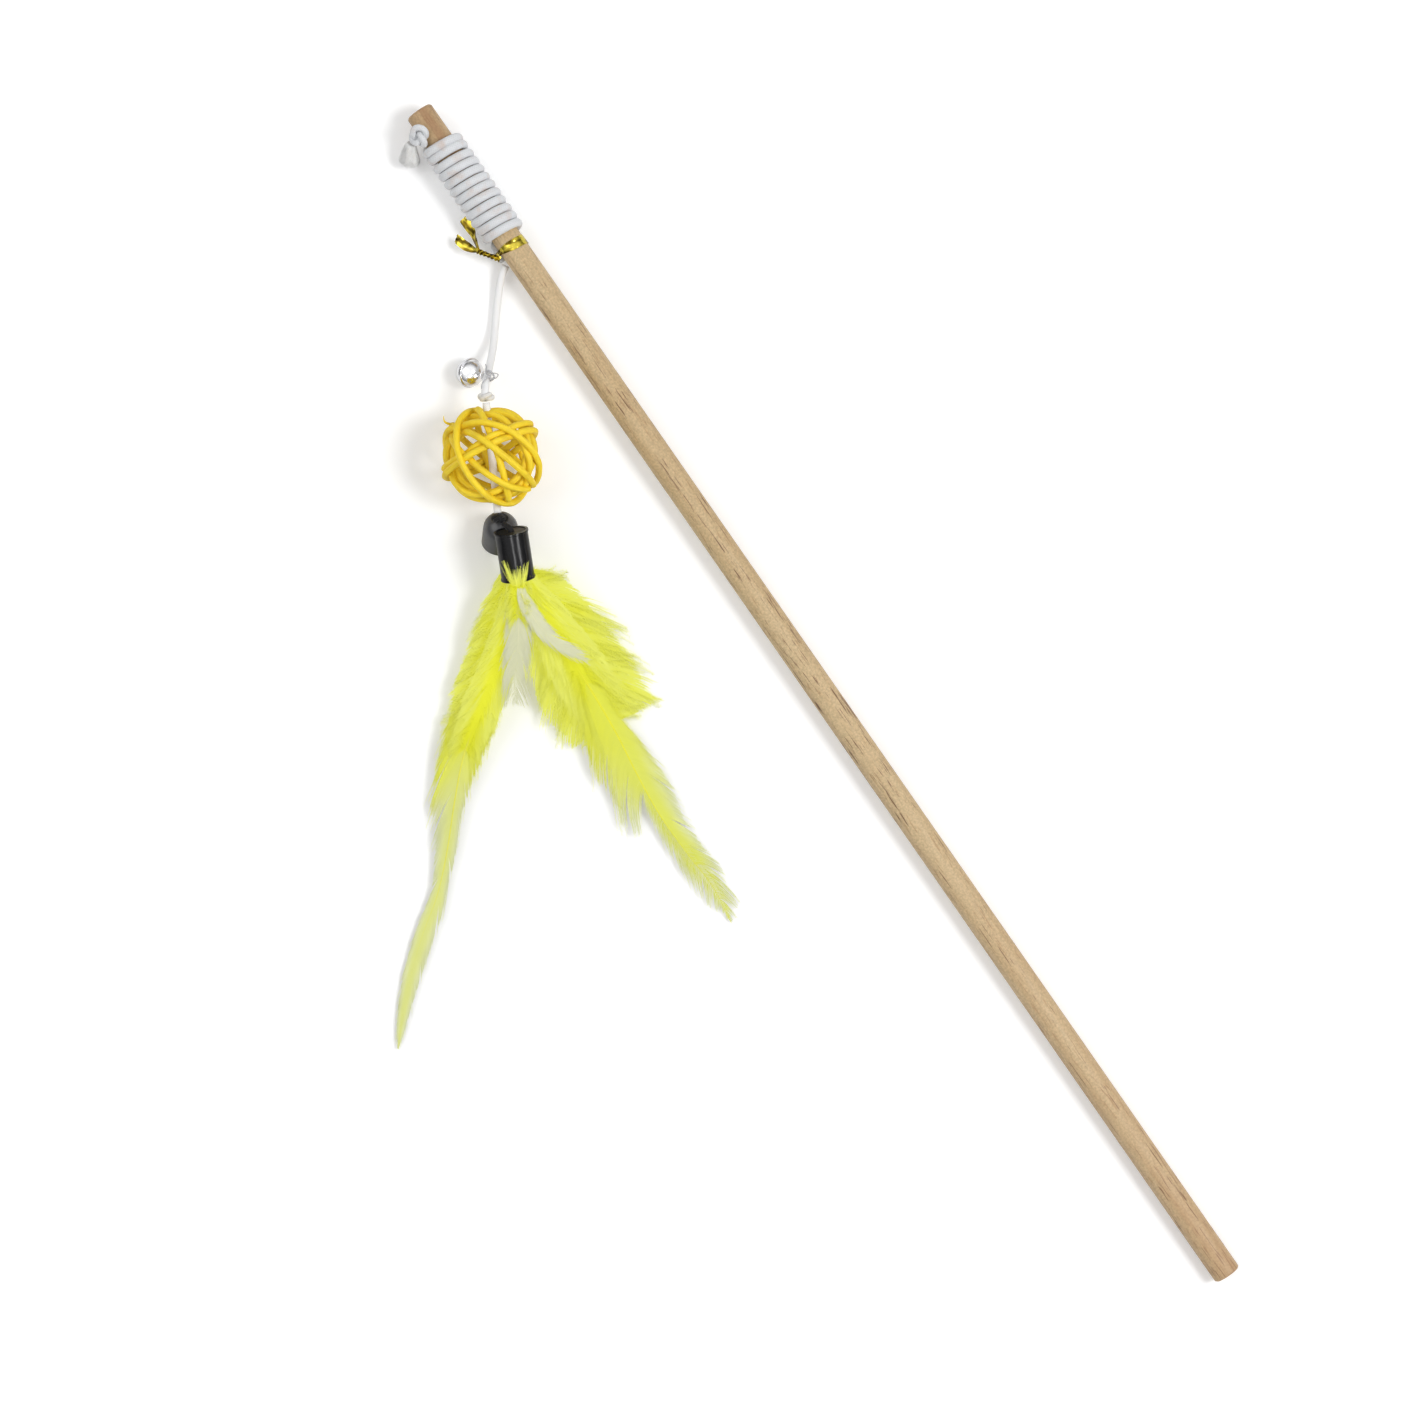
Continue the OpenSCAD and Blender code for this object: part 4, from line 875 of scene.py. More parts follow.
heading, lean = math.radians(-10), math.radians(50)
bead_axis = Vector((-math.cos(lean) * math.cos(heading), -math.cos(lean) * math.sin(heading),
                    math.sin(lean)))
bead_base = Vector((2.6, 0.3, 4.95 * math.cos(lean))) - 6.05 * Vector((bead_axis.x, bead_axis.y, 0))
hang_from, pole, foot = Vector((0, 0, 12.6)), bead_base + 11 * bead_axis, bead_base + 3 * bead_axis
reach = (hang_from - pole).length / 2
points = bezier([hang_from, hang_from - Vector((0, 0, reach)), pole + reach * bead_axis, pole], 14)
points += [pole.lerp(foot, k / 6) for k in range(7)]
thin_cord_r = 0.0008
bead_string = tube("bead_string", [in_hub(*p) for p in points], thin_cord_r, sides=12)
dress(bead_string, dark_cord, "bead", "bead_cord")
knot = tight_knot("bead_pocket_knot", box_middle("bead_knot"), lure_way(*bead_axis), (0, 0, 1),
                  0.0036, 0.00045)
dress(knot, dark_cord, "bead", "bead_knot")

# The sleeve: a short piece of shrunk black tubing over the quills, closed above by a plug of
# glue that holds quills and cord.
rubber = scuffed("sleeve rubber", (0.006, 0.006, 0.007), 0.14, 0.24, 0.0, (0.02, 0.02, 0.02), 0.22)
dress_node("feather_sleeve", rubber)
glue = scuffed("set glue", (0.014, 0.013, 0.012), 0.3, 0.5, 0.0, (0.05, 0.045, 0.035))
dress_node("sleeve_plug", glue)
heading, dip = math.radians(8.2), math.radians(17)
sleeve_way = Vector((math.cos(dip) * math.cos(heading), math.cos(dip) * math.sin(heading),
                     -math.sin(dip)))
sleeve_top, knot_middle = Vector((3.5, 3.6, 18)), Vector((0, 0, 15))
way = (sleeve_top - knot_middle).normalized()
hang_from = knot_middle + 2.4 * way
reach = (sleeve_top - hang_from).length / 3
points = bezier([hang_from, hang_from + reach * way, sleeve_top - reach * sleeve_way,
                 sleeve_top], 12)
points += [sleeve_top + 3 * k / 5 * sleeve_way for k in range(6)]
sleeve_string = tube("sleeve_string", [in_hub(*p) for p in points], thin_cord_r, sides=12)
dress(sleeve_string, dark_cord, "feathers", "sleeve_cord")

# The feathers: dyed hackles with a horny quill and a flat vane of fine barbs, and downy
# plumes whose loose barbs carry soft barbules. Their quills are glued into the sleeve.
# All the barbs draw on one seeded generator, in the order in which they are made
chance = np.random.RandomState(11)


def smooth_table(table, share):
    """A value between the entries of a listed table of (share, value)."""
    return np.interp(share, [row[0] for row in table], [row[1] for row in table])


class Quill:
    """A quill's line, with a point, a direction and a side at every distance along it."""

    def __init__(self, points, roll=0.0):
        self.line = np.array([tuple(p) for p in spline([Vector(p) / 1000 for p in points], 8)])
        steps = np.linalg.norm(np.diff(self.line, axis=0), axis=1)
        self.reach = np.concatenate([[0.0], np.cumsum(steps)])
        self.length = self.reach[-1]
        self.roll = math.radians(roll)

    def at(self, reach):
        """The point that far along the quill."""
        return np.stack([np.interp(reach, self.reach, self.line[:, k]) for k in range(3)], axis=-1)

    def frame(self, reach):
        """The direction, the side and the upper normal of the vane there."""
        near = 0.001
        ahead = self.at(np.minimum(reach + near, self.length))
        ahead -= self.at(np.maximum(reach - near, 0))
        ahead /= np.linalg.norm(ahead, axis=-1, keepdims=True)
        side = np.stack([-ahead[..., 1], ahead[..., 0], 0 * ahead[..., 0]], axis=-1)
        side /= np.linalg.norm(side, axis=-1, keepdims=True)
        above = np.cross(ahead, side)
        turned_side = math.cos(self.roll) * side + math.sin(self.roll) * above
        return ahead, turned_side, np.cross(ahead, turned_side)


def barbs(quill, hand, widths, spacing, half, lean, clump, pull, start, wave, cup, rings=6,
          ends=0.12, ragged=0.12, stop=None, taper=1.6, stray=0.0, curl=0.0, blunt=0.0, splits=()):
    """The barbs on one side of a quill. They lean towards the tip and gather in small clumps.
    At each split, given by its share of the quill, they part by that much at the vane's edge."""
    reach = np.arange(start, stop or quill.length - 0.0004, spacing)
    count = len(reach)
    reach = reach + chance.uniform(-0.3, 0.3, count) * spacing
    sizes, groups = [], []
    while sum(sizes) < count:
        sizes.append(max(3, int(clump * chance.uniform(0.6, 1.5))))
    for size in sizes:
        groups += [(k - (size - 1) / 2) / (size / 2) for k in range(size)]
    phase = np.array(groups[:count])
    clump_id = np.repeat(np.arange(len(sizes)), sizes)[:count]
    clump_long = chance.uniform(1 - ragged, 1 + ragged, len(sizes))[clump_id]
    lean = lean + (stray * chance.normal(0, 1, len(sizes)))[clump_id]
    lean = lean + 0.3 * stray * chance.normal(0, 1, count)
    lean = np.radians(np.clip(lean, 12, 75))
    curled = (curl * chance.uniform(-1, 1, len(sizes)))[clump_id][:, None]
    wide = smooth_table(widths, reach / quill.length) / 1000
    for _ in range(2):
        tip_share = np.minimum((reach + wide / np.tan(lean)) / quill.length, 1.0)
        wide = smooth_table(widths, tip_share) / 1000
    wide *= clump_long * (1 - 0.22 * pull * np.abs(phase) ** 1.5 - blunt * phase ** 2)
    wide *= chance.uniform(0.93, 1.03, count)
    forward = wide / np.tan(lean)
    forward = np.minimum(forward, np.maximum(quill.length * 1.01 - reach, 0.0003))
    gather = -phase * pull * spacing * clump * 0.32
    for split, gap in splits:
        past = reach - split * quill.length
        gather = gather + np.where(past < 0, -0.6, 1.0) * gap * np.exp(-np.abs(past) / 0.0030)
    share = np.linspace(0, 1, rings)[None, :]
    out = wide[:, None] * (0.35 * share + 0.65 * share ** 0.8)
    along = reach[:, None] + forward[:, None] * share ** 1.35 + gather[:, None] * share ** 2
    ripple = chance.uniform(0, 2 * math.pi, count)[:, None]
    ripple_way = chance.uniform(0.5, 1.4, count)[:, None]
    along = along + wave * np.sin(ripple + share * 5.0 * ripple_way) * share + curled * share ** 2
    lift = (chance.normal(0, 1, count)[:, None] * wave * 0.8 * share
            + 0.00004 * (1 + (np.arange(count) % 3))[:, None] - cup * out ** 2)
    over = np.maximum(along - quill.length, 0)
    ahead, side, above = quill.frame(np.minimum(along, quill.length))
    centres = (quill.at(np.minimum(along, quill.length)) + ahead * over[..., None]
               + hand * side * out[..., None] + above * lift[..., None])
    centres[..., 2] = np.maximum(centres[..., 2], LOWEST)
    halves = half * (1 - (1 - ends) * share ** taper) * np.ones((count, 1))
    maps = np.stack([np.broadcast_to((reach / quill.length)[:, None], out.shape),
                     np.broadcast_to(share, out.shape)], axis=-1)
    return centres, halves, above * np.ones_like(centres), maps


def barbules(centres, above, maps, step, size, start=0.12):
    """Soft side hairs on downy barbs: one small three-sided spike each."""
    count, rings, _ = centres.shape
    lengths = np.linalg.norm(np.diff(centres, axis=1), axis=2).sum(1)
    spots, rows = [], []
    for row in range(count):
        number = int(lengths[row] * (1 - start) / step)
        spread = (np.arange(number) + chance.uniform(0, 1)) / max(number, 1)
        spots.append(start + (1 - start) * spread)
        rows.append(np.full(number, row))
    spots, rows = np.concatenate(spots), np.concatenate(rows)
    place = np.clip(spots, 0, 0.999) * (rings - 1)
    low = place.astype(int)
    part = (place - low)[:, None]
    root = centres[rows, low] * (1 - part) + centres[rows, low + 1] * part
    ahead = centres[rows, low + 1] - centres[rows, low]
    ahead /= np.linalg.norm(ahead, axis=1, keepdims=True) + 1e-12
    normal = above[rows, low]
    across = np.cross(ahead, normal)
    sign = np.where(np.arange(len(rows)) % 2 == 0, 1.0, -1.0)[:, None]
    way = (ahead * chance.uniform(0.5, 1.1, (len(rows), 1)) + sign * across
           + normal * chance.normal(0, 0.35, (len(rows), 1)))
    way /= np.linalg.norm(way, axis=1, keepdims=True)
    long = size * chance.uniform(0.55, 1.15, (len(rows), 1)) * (1.0 - 0.55 * spots[:, None] ** 2)
    tips = root + way * long
    tips[:, 2] = np.maximum(tips[:, 2], LOWEST - 0.0001)
    thin = 0.00004
    corners = [root + ahead * thin, root - ahead * thin, root + normal * thin * 1.4]
    points = np.stack(corners + [tips], axis=1).reshape(-1, 3)
    first = (np.arange(len(rows)) * 4)[:, None]
    triangles = np.concatenate([first + np.array([[0, 1, 3]]), first + np.array([[1, 2, 3]]),
                                first + np.array([[2, 0, 3]])])
    shares = np.stack([maps[rows, 0, 0], np.clip(spots, 0, 1)], axis=1)
    ways = normal + 0.5 * chance.normal(0, 0.5, normal.shape)
    return points, triangles, np.repeat(shares, 4, axis=0), np.repeat(ways, 4, axis=0)


def shaft(quill, thick):
    """The quill itself, round at the root and thinning to a hair."""
    rings, sides = 60, 8
    reach = np.linspace(0, quill.length, rings)
    _, side, above = quill.frame(reach)
    radius = thick / 2 * (1 - 0.88 * (reach / quill.length) ** 0.8)
    turns = np.linspace(0, 2 * math.pi, sides, endpoint=False)
    cosines, sines = np.cos(turns)[None, :, None], np.sin(turns)[None, :, None]
    ring = (quill.at(reach)[:, None] + radius[:, None, None] * (
        cosines * side[:, None] + sines * above[:, None]))
    grid = np.arange(rings * sides).reshape(rings, sides)
    beside = np.roll(grid, -1, axis=1)
    faces = np.concatenate([
        np.stack([grid[:-1], beside[:-1], grid[1:]], -1).reshape(-1, 3),
        np.stack([beside[:-1], beside[1:], grid[1:]], -1).reshape(-1, 3),
        np.stack([np.full(sides - 2, grid[0, 0]), grid[0, 2:], grid[0, 1:-1]], -1),
        np.stack([np.full(sides - 2, grid[-1, 0]), grid[-1, 1:-1], grid[-1, 2:]], -1)])
    shares = np.stack([reach / quill.length, np.full(rings, -1.0)], axis=1)
    ways = ring - quill.at(reach)[:, None]
    return ring.reshape(-1, 3), faces, np.repeat(shares, sides, axis=0), ways.reshape(-1, 3)


def feather_finish(name, core, edge, quill_colour, dark, painted_glow, lit, root=None, pale_at=None):
    """Dyed barbs in fine streaks: core colour at the quill, edge colour at their ends, and root
    colour up to where the feather turns pale. The colour also glows at painted_glow, painted light
    that lifts the shade between the barbs, and lit scales the part that takes the lamps' light."""
    m = Finish(name, Roughness=0.7, Sheen_Weight=0.1, IOR=1.4, Emission_Strength=painted_glow)
    along, out = m.put("SeparateXYZ", _0=m.uv()).outputs[:2]
    cloud = m.cloud(m.place(), 160.0, 3.0)
    outer = m.ramp(m.calc('ADD', out, m.times(cloud, 0.4)), 0.35, 1.25, smooth=True)
    tone = m.mix(outer, core, edge)
    if root:
        beyond = m.calc('ADD', along, m.times(cloud, 0.06))
        tone = m.mix(m.ramp(beyond, pale_at[0] + 0.03, pale_at[1] + 0.03, smooth=True), root, tone)
    streak = m.put("CombineXYZ", X=m.times(along, 260.0), Y=m.times(out, 1.5)).outputs[0]
    tone = m.mix(m.ramp(m.cloud(streak, 1.0, 2.0), 0.3, 0.7, 0.0, 0.3), tone, dark)
    colour = m.mix(m.calc('LESS_THAN', out, -0.5), tone, quill_colour)
    # The base colour is scaled down by lit, because the painted glow adds the rest of the
    # brightness.
    dyed = m.put("VectorMath", {"operation": 'SCALE'}, _0=colour, Scale=lit).outputs[0]
    return m.done(Base_Color=dyed, Emission_Color=colour)


# The glow strengths below are painted light, strongest on the down to lift the shade among its
# barbs.
yellow_down = feather_finish("yellow down", (0.79, 0.815, 0.026), (0.80, 0.845, 0.17),
                             (0.84, 0.82, 0.06), (0.82, 0.78, 0.03), 0.60, 0.44)
yellow_vane = feather_finish("yellow vane", (0.75, 0.785, 0.12), (0.78, 0.82, 0.46),
                             (0.84, 0.82, 0.04), (0.64, 0.68, 0.10), 0.2, 0.78,
                             (0.78, 0.805, 0.06), (0.38, 0.60))
pale_vane = feather_finish("pale yellow vane", (0.75, 0.785, 0.26), (0.79, 0.825, 0.50),
                           (0.80, 0.79, 0.10), (0.66, 0.70, 0.22), 0.2, 0.78,
                           (0.78, 0.805, 0.05), (0.34, 0.50))
cream_vane = feather_finish("cream vane", (0.75, 0.76, 0.50), (0.79, 0.80, 0.57),
                            (0.78, 0.77, 0.50), (0.62, 0.63, 0.38), 0.12, 0.84)


def dressed(piece, material, node):
    """Dresses a piece of the feathers on the feathers' body, and hides the CAD node it replaces."""
    dress(piece, material, "feathers", node)


def vane(quill, hand, rows, lean, cup, thin, splits, start=0.03, frayed=1.0):
    """A smooth vane: barbs side by side, with finer and longer ones that soften its edge. From
    the share called frayed on, its barbs stand in loose, uneven clumps."""
    until = frayed * quill.length - 0.0004
    made = barbs(quill, hand, rows, spacing=0.00016, half=0.00012, lean=lean, clump=30, pull=0.16,
                 start=start, wave=0.00004, cup=cup, ends=0.14, ragged=0.03, taper=2.2,
                 splits=splits, stop=until)
    made[1][:] *= smooth_table(thin, made[3][..., 0])
    wider = [(share, width * 1.12 + 0.3) for share, width in rows]
    fringe = barbs(quill, hand, wider, spacing=0.0004, half=0.00004, lean=lean - 2, clump=7,
                   pull=0.6, start=start, wave=0.00018, cup=cup, rings=5, ends=0.3, splits=splits,
                   stop=until)
    parts = [strands(*made), strands(*fringe)]
    if frayed < 1.0:
        slim = [(share, width * min(0.95, 0.15 + 12 * (1 - share))) for share, width in rows]
        loose = barbs(quill, hand, slim, spacing=0.00026, half=0.00006, lean=max(lean - 6, 16),
                      clump=14, pull=0.6, start=until - 0.001, wave=0.00025, cup=cup, ends=0.3,
                      ragged=0.16, stray=2.5, curl=0.0006)
        parts.append(strands(*loose))
    return parts


def down(quill, hand, rows, lean, start=0.001, stop=None, lift=0.0, step=0.00013):
    """Loose soft barbs in layers that cross, over a close one that lies flat, and over them long
    fuzzy ones that carry barbules. Towards stop all but these thin out and sink onto the vane."""
    parts, cup = [], 3.0
    crossing = dict(half=0.00016, pull=0.12, wave=0.0004, rings=6, ends=0.14, ragged=0.17,
                    taper=2.0, stray=7, curl=0.0013, blunt=0.3)
    flat = dict(half=0.00017, pull=0.0, wave=0.00003, rings=5, ends=0.35, ragged=0.05, taper=2.6)
    for spread, angle, clump, spacing, raise_by, form in (
            (0.86, lean, 30, 0.00016, -0.0002, flat), (0.98, lean, 24, 0.00020, 0.0, crossing),
            (0.88, lean + 11, 17, 0.00020, 0.0003, crossing),
            (0.66, lean - 7, 13, 0.00020, 0.0005, crossing)):
        table = [(share, width * spread) for share, width in rows]
        made = barbs(quill, hand, table, spacing, lean=angle, clump=clump, start=start, cup=cup,
                     stop=stop, **form)
        left = 1.0
        if stop is not None:
            left = np.clip((stop - made[3][..., 0] * quill.length) / 0.02, 0.12, 1)
        uneven = 0.0 if form is flat else chance.normal(0, 0.00008, (len(made[0]), 1))
        made[0][..., 2] += (lift + raise_by + uneven) * left
        parts.append(strands(made[0], made[1] * left, *made[2:]))
    made = barbs(quill, hand, rows, spacing=0.0007, half=0.00004, lean=lean + 4, clump=6, pull=0.5,
                 start=start, wave=0.0008, cup=cup, rings=8, ends=0.3, ragged=0.16, stop=stop,
                 stray=12, curl=0.0024, blunt=0.16)
    made[0][..., 2] += lift + 0.0006 if stop is None else lift
    return parts + [strands(*made), barbules(made[0], made[2], made[3], step, 0.0022)]


# The two long hackles. The left one is narrow and bends a little; the right one is broad,
# wider on its inner side, with a split in the vane and a frayed end.
left_quill = Quill([(-79.6, 25.2, 15.0), (-75.7, 22.0, 13.6), (-67.4, 15.2, 11.6),
                    (-58.2, 3.9, 9.0), (-51.5, -6.6, 7.0), (-44.2, -17.4, 5.2),
                    (-35.4, -26.8, 3.8), (-23.9, -37.8, 2.6), (-15.4, -47.1, 1.9),
                    (-8.6, -56.9, 1.5), (-1.2, -66.0, 1.2), (6.8, -74.5, 1.1),
                    (13.9, -81.0, 1.0)], roll=4)
left_outer = [(0, 0.6), (0.08, 2.5), (0.2, 6.5), (0.33, 8.0), (0.42, 7.2), (0.48, 6.6), (0.52, 4.6),
              (0.6, 3.2), (0.68, 2.0), (0.76, 2.2), (0.86, 2.3), (0.95, 1.3), (1, 0.1)]
left_inner = [(0, 0.6), (0.08, 2.5), (0.2, 6.0), (0.33, 6.5), (0.42, 4.5), (0.5, 2.8), (0.6, 2.6),
              (0.68, 2.2), (0.72, 3.3), (0.8, 3.4), (0.88, 2.5), (0.95, 1.4), (1, 0.1)]
parts = [shaft(left_quill, 0.0010)]
thin = ((0, 1), (0.4, 1), (0.46, 0.6), (0.62, 0.7), (0.7, 1), (1, 0.8))
for hand, table, splits in (
        (-1, left_outer, ((0.36, 0.0016), (0.47, 0.0022), (0.64, 0.0014), (0.86, 0.0008))),
        (1, left_inner, ((0.43, 0.0014), (0.60, 0.0018), (0.69, 0.0014), (0.80, 0.0010)))):
    parts += vane(left_quill, hand, table, 20, 6.0, thin=thin, splits=splits)
dressed(merged("left_long_feather", parts), pale_vane, "feather_left_long")

right_quill = Quill([(-79.2, 24.2, 16.4), (-74.6, 24.2, 14.6), (-66.0, 24.0, 12.0),
                     (-59.3, 23.3, 10.3), (-47.7, 22.5, 8.0), (-34.0, 21.7, 5.8),
                     (-23.1, 20.7, 4.4), (-10.6, 18.9, 3.2), (2.5, 17.7, 2.4),
                     (16.3, 17.9, 1.8), (27.0, 18.4, 1.4), (38.6, 16.8, 1.0)], roll=-3)
right_outer = [(0, 0.6), (0.1, 3.0), (0.3, 4.5), (0.44, 3.0), (0.5, 5.0), (0.58, 6.6), (0.65, 7.4),
               (0.72, 5.4), (0.8, 4.9), (0.87, 5.4), (0.92, 4.4), (0.96, 2.6), (1, 0.2)]
right_inner = [(0, 0.6), (0.1, 3.0), (0.3, 5.0), (0.42, 8.0), (0.5, 11.2), (0.56, 11.0),
               (0.62, 9.2), (0.66, 7.6), (0.668, 2.4), (0.74, 3.4), (0.82, 4.4), (0.9, 4.4),
               (0.95, 2.2), (1, 0.2)]
parts = [shaft(right_quill, 0.0010)]
for hand, table, thin, splits in (
        (1, right_outer, ((0, 1), (0.72, 1), (0.8, 0.55), (0.86, 0.35), (1, 0.3)),
         ((0.57, 0.0010), (0.70, 0.0018), (0.78, 0.0012))),
        (-1, right_inner, ((0, 1), (0.5, 0.9), (0.58, 0.8), (0.64, 0.45), (0.8, 0.35), (1, 0.3)),
         ((0.46, 0.0014), (0.56, 0.0020), (0.62, 0.0016), (0.75, 0.0014)))):
    parts += vane(right_quill, hand, table, 32, 4.0, thin=thin, splits=splits, frayed=0.84)
dressed(merged("right_long_feather", parts), yellow_vane, "feather_right_long")

# The down: two wide plumes under the hackles, and the hackles' own loose barbs that lie over
# their upper thirds.
plume_l = Quill([(-80.4, 24.0, 12.8), (-76.6, 21.0, 11.2), (-70.0, 13.2, 9.0), (-62.5, 4.0, 6.6),
                 (-54.6, -5.6, 4.6), (-47.6, -13.4, 3.0), (-43.0, -17.6, 2.0)], roll=2)
plume_l_outer = [(0, 2.5), (0.12, 5.0), (0.3, 6.2), (0.5, 7.6), (0.7, 8.6), (0.85, 8.0), (1, 4.0)]
plume_l_inner = [(0, 1.5), (0.12, 4.0), (0.3, 6.5), (0.5, 8.0), (0.7, 8.0), (0.85, 7.0), (1, 4.0)]
plume_r = Quill([(-79.2, 24.2, 13.0), (-75.4, 23.6, 11.4), (-66.0, 23.4, 8.8), (-56.0, 23.0, 6.6),
                 (-46.0, 22.4, 4.8), (-36.0, 21.6, 3.2), (-27.0, 20.8, 2.2)], roll=-2)
plume_r_outer = [(0, 5.0), (0.12, 10.0), (0.25, 12.5), (0.45, 15.0), (0.65, 16.4), (0.85, 17.2),
                 (0.95, 15.5), (1, 10.0)]
plume_r_inner = [(0, 2.0), (0.12, 4.5), (0.25, 7.5), (0.45, 12.5), (0.65, 16.0), (0.85, 16.5),
                 (0.95, 14.5), (1, 10.0)]
for name, quill, hand, table, node in (
        ("left_plume_outer", plume_l, -1, plume_l_outer, "feather_left_down"),
        ("left_plume_inner", plume_l, 1, plume_l_inner, "feather_left_down"),
        ("right_plume_outer", plume_r, 1, plume_r_outer, "feather_right_down"),
        ("right_plume_inner", plume_r, -1, plume_r_inner, "feather_right_down")):
    dressed(merged(name, [shaft(quill, 0.0008)] + down(quill, hand, table, 46)), yellow_down, node)
over_l = [(0, 1.2), (0.06, 3.5), (0.15, 6.0), (0.3, 6.5), (0.42, 5.0), (0.5, 3.0)]
over_r = [(0, 1.2), (0.06, 4.0), (0.15, 7.0), (0.3, 9.0), (0.42, 9.0), (0.5, 6.0)]
for name, quill, table, node, stop in (
        ("left_over_down", left_quill, over_l, "feather_left_long", 0.056),
        ("right_over_down", right_quill, over_r, "feather_right_long", 0.040)):
    parts = []
    for hand in (1, -1):
        parts += down(quill, hand, table, 32, stop=stop, lift=0.0008, step=0.00026)
    dressed(merged(name, parts), yellow_down, node)

# The two cream feathers that lie on top, undyed: the left one soft and blunt, the right one
# narrow, curved and pointed.
cream_l = Quill([(-80.4, 25.6, 17.4), (-76.2, 23.6, 15.6), (-70.6, 19.6, 15.2), (-64.4, 15.7, 14.6),
                 (-58.5, 11.0, 13.6), (-52.9, 6.0, 12.6), (-46.8, 2.6, 11.9)], roll=6)
cream_l_rows = [(0, 0.5), (0.15, 1.6), (0.35, 3.2), (0.55, 4.0), (0.75, 3.9), (0.88, 3.0), (1, 0.6)]
cream_r = Quill([(-79.4, 26.4, 19.2), (-75.0, 23.6, 17.0), (-70.6, 21.5, 16.8), (-65.6, 20.7, 16.3),
                 (-60.2, 20.6, 15.6), (-54.0, 22.0, 14.9), (-45.6, 26.4, 14.0)], roll=-4)
cream_r_rows = [(0, 0.5), (0.2, 1.5), (0.4, 2.1), (0.6, 2.4), (0.8, 1.8), (0.92, 1.0), (1, 0.2)]
for name, quill, rows, lean, frayed in (("left_cream", cream_l, cream_l_rows, 24, 0.8),
                                        ("right_cream", cream_r, cream_r_rows, 20, 0.9)):
    parts = [shaft(quill, 0.0007)]
    for hand in (1, -1):
        parts += vane(quill, hand, rows, lean, 5.0, ((0, 0.9), (0.5, 0.75), (1, 0.4)),
                      ((0.4, 0.0010), (0.62, 0.0016)), start=0.006, frayed=frayed)
    dressed(merged(name, parts), cream_vane, "feather_" + name)
parts = []
for hand in (1, -1):
    parts += down(cream_l, hand, [(0, 1.5), (0.1, 3.4), (0.3, 4.2), (0.5, 3.4)], 30,
                  stop=0.017, lift=0.0010)
dressed(merged("left_cream_fluff", parts), yellow_down, "feather_left_down")

# The tuft: short loose down at the feathers' roots that stands out of the sleeve's mouth, over
# its rim and over the first of the feathers.
mouth_at = np.array(in_hub(*(sleeve_top + 15.0 * sleeve_way)))
mouth_way = np.array(lure_way(*sleeve_way))
mouth_side = np.cross(mouth_way, (0, 0, 1))
mouth_side /= np.linalg.norm(mouth_side)
mouth_up = np.cross(mouth_side, mouth_way)
lines, uppers, count, backwards = [], [], 460, 140
locks = ((0.08, 0.0074, 0.34), (0.04, 0.0046, 0.10), (-0.02, 0.0052, -0.16), (-0.06, 0.0064, -0.46))
for i in range(count):
    if i < backwards:
        round_at, long, swing = locks[i % 4]
        round_at += chance.normal(0, 0.05)
        long *= chance.uniform(0.45, 1.05)
        swing += chance.normal(0, 0.055)
    else:
        round_at, swing = chance.uniform(-1.35, 1.35), chance.uniform(-0.5, 0.5)
        long = chance.uniform(0.004, 0.011 if round_at > 0.1 else 0.014)
    spread = mouth_side * math.sin(round_at) + mouth_up * math.cos(round_at)
    root = mouth_at - mouth_way * 0.0006 + spread * 0.0036
    line = []
    for share in np.linspace(0, 1, 7):
        if i < backwards:
            go = -mouth_way * long * (share ** 1.6) + mouth_way * 0.0012 * math.sin(math.pi * share)
            rise = spread * (0.0004 + 0.0017 * math.sin(math.pi * min(share * 1.4, 1) / 2))
        else:
            go = mouth_way * long * share
            rise = spread * (0.0016 * share - 0.0020 * share ** 2) - mouth_up * 0.0012 * share ** 2
        aside = mouth_side * (swing + 0.35 * math.sin(round_at)) * long * share ** 1.3
        line.append(root + go + rise + aside)
    lines.append(line)
    uppers.append([spread] * 7)
lines, uppers = np.array(lines), np.array(uppers)
maps = np.stack(np.meshgrid(np.linspace(0, 0.2, count), np.linspace(0, 1, 7), indexing="ij"),
                axis=-1)
halves = 0.00010 * (1 - 0.85 * maps[..., 1])
fuzz = barbules(lines[::2], uppers[::2], maps[::2], 0.00016, 0.0009, start=0.05)
tuft = merged("root_tuft", [strands(lines, halves, uppers, maps), fuzz])
dressed(tuft, yellow_down, "feather_left_down")

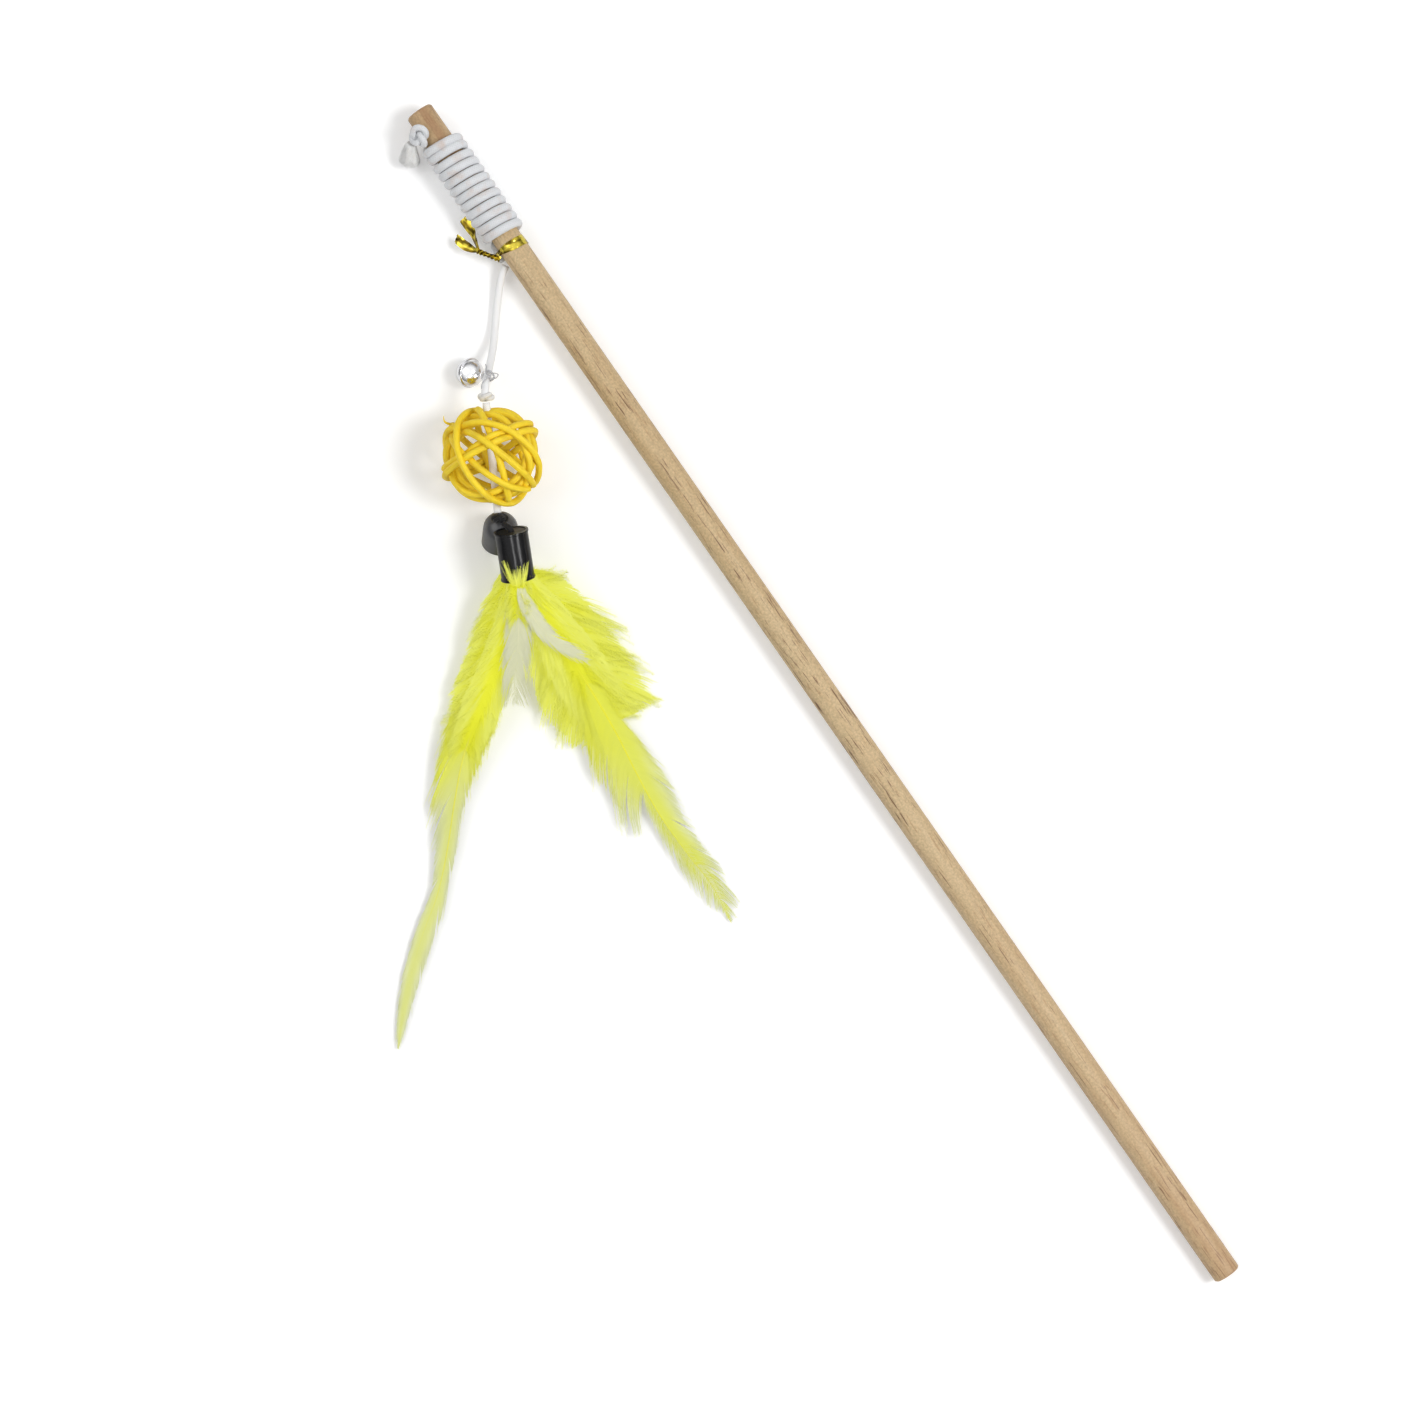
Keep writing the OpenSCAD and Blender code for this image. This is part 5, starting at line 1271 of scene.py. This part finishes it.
# A plain pale floor with soft studio light. The large lamp stands at the picture's upper
# right, so the toy throws a faint shadow down to the left.
bpy.ops.mesh.primitive_plane_add(size=6.0, location=(0.0, 0.0, -0.0002))
floor = bpy.context.object
floor.name = "floor"
m = Finish("floor paper", Base_Color=(0.9, 0.9, 0.9, 1), Roughness=0.9, Emission_Color=(1, 1, 1, 1),
           Specular_IOR_Level=0.0)
lifted = m.times(m.put("LightPath").outputs["Is Camera Ray"], 0.2)
floor.data.materials.append(m.done(Emission_Strength=lifted))
bpy.ops.object.select_all(action='DESELECT')


def lamp(name, size, power, place, aim):
    """A round soft lamp that looks at a place."""
    light = bpy.data.lights.new(name, 'AREA')
    light.shape = 'DISK'
    light.size = size
    light.energy = power
    holder = bpy.data.objects.new(name, light)
    holder.location = place
    holder.rotation_euler = (Vector(aim) - Vector(place)).to_track_quat('-Z', 'Y').to_euler()
    bpy.context.scene.collection.objects.link(holder)


lamp("key_lamp", 0.5, 11.0, (0.40, 0.75, 1.25), (-0.05, 0, 0))
lamp("fill_lamp", 1.4, 6.0, (-0.9, -0.6, 1.3), (0, 0, 0))
world = bpy.data.worlds.new("studio")
bpy.context.scene.world = world
world.use_nodes = True
sky = world.node_tree.nodes["Background"]
sky.inputs["Color"].default_value = (1, 1, 1, 1)
m = Nodes(world.node_tree)
looking = m.put("TexCoord").outputs["Generated"]


def light_band(way, middle, half):
    """One where the light comes from a band of directions, measured along a way, or else zero."""
    seen = m.put("VectorMath", {"operation": 'DOT_PRODUCT'}, _0=looking, _1=tuple(Vector(way)))
    apart = m.calc('ABSOLUTE', m.calc('SUBTRACT', seen.outputs["Value"], middle))
    return m.calc('LESS_THAN', apart, half)


# Glossy pieces mirror a dome that is dark at the horizon, with two bright strips that give the
# sleeve its long highlights. The rest of the light is even.
dome = m.ramp(m.put("SeparateXYZ", _0=looking).outputs[2], 0.05, 0.8, 0.17, 1.1, smooth=True)
strips = m.calc('MAXIMUM', light_band(mouth_side, 0.03, 0.07), light_band(mouth_side, -0.62, 0.08))
strips = m.times(strips, light_band(mouth_way, 0.29, 0.16))
glossy = m.calc('ADD', dome, m.times(strips, 11.0))
ray = m.put("LightPath").outputs
power = 0.5
for kind, value in (("Is Glossy Ray", glossy), ("Is Camera Ray", 1.0)):
    power = m.put("Mix", {"data_type": 'FLOAT'}, _0=ray[kind], _2=power, _3=value).outputs[0]
world.node_tree.links.new(power, sky.inputs["Strength"])
bpy.context.scene.view_settings.view_transform = 'Standard'
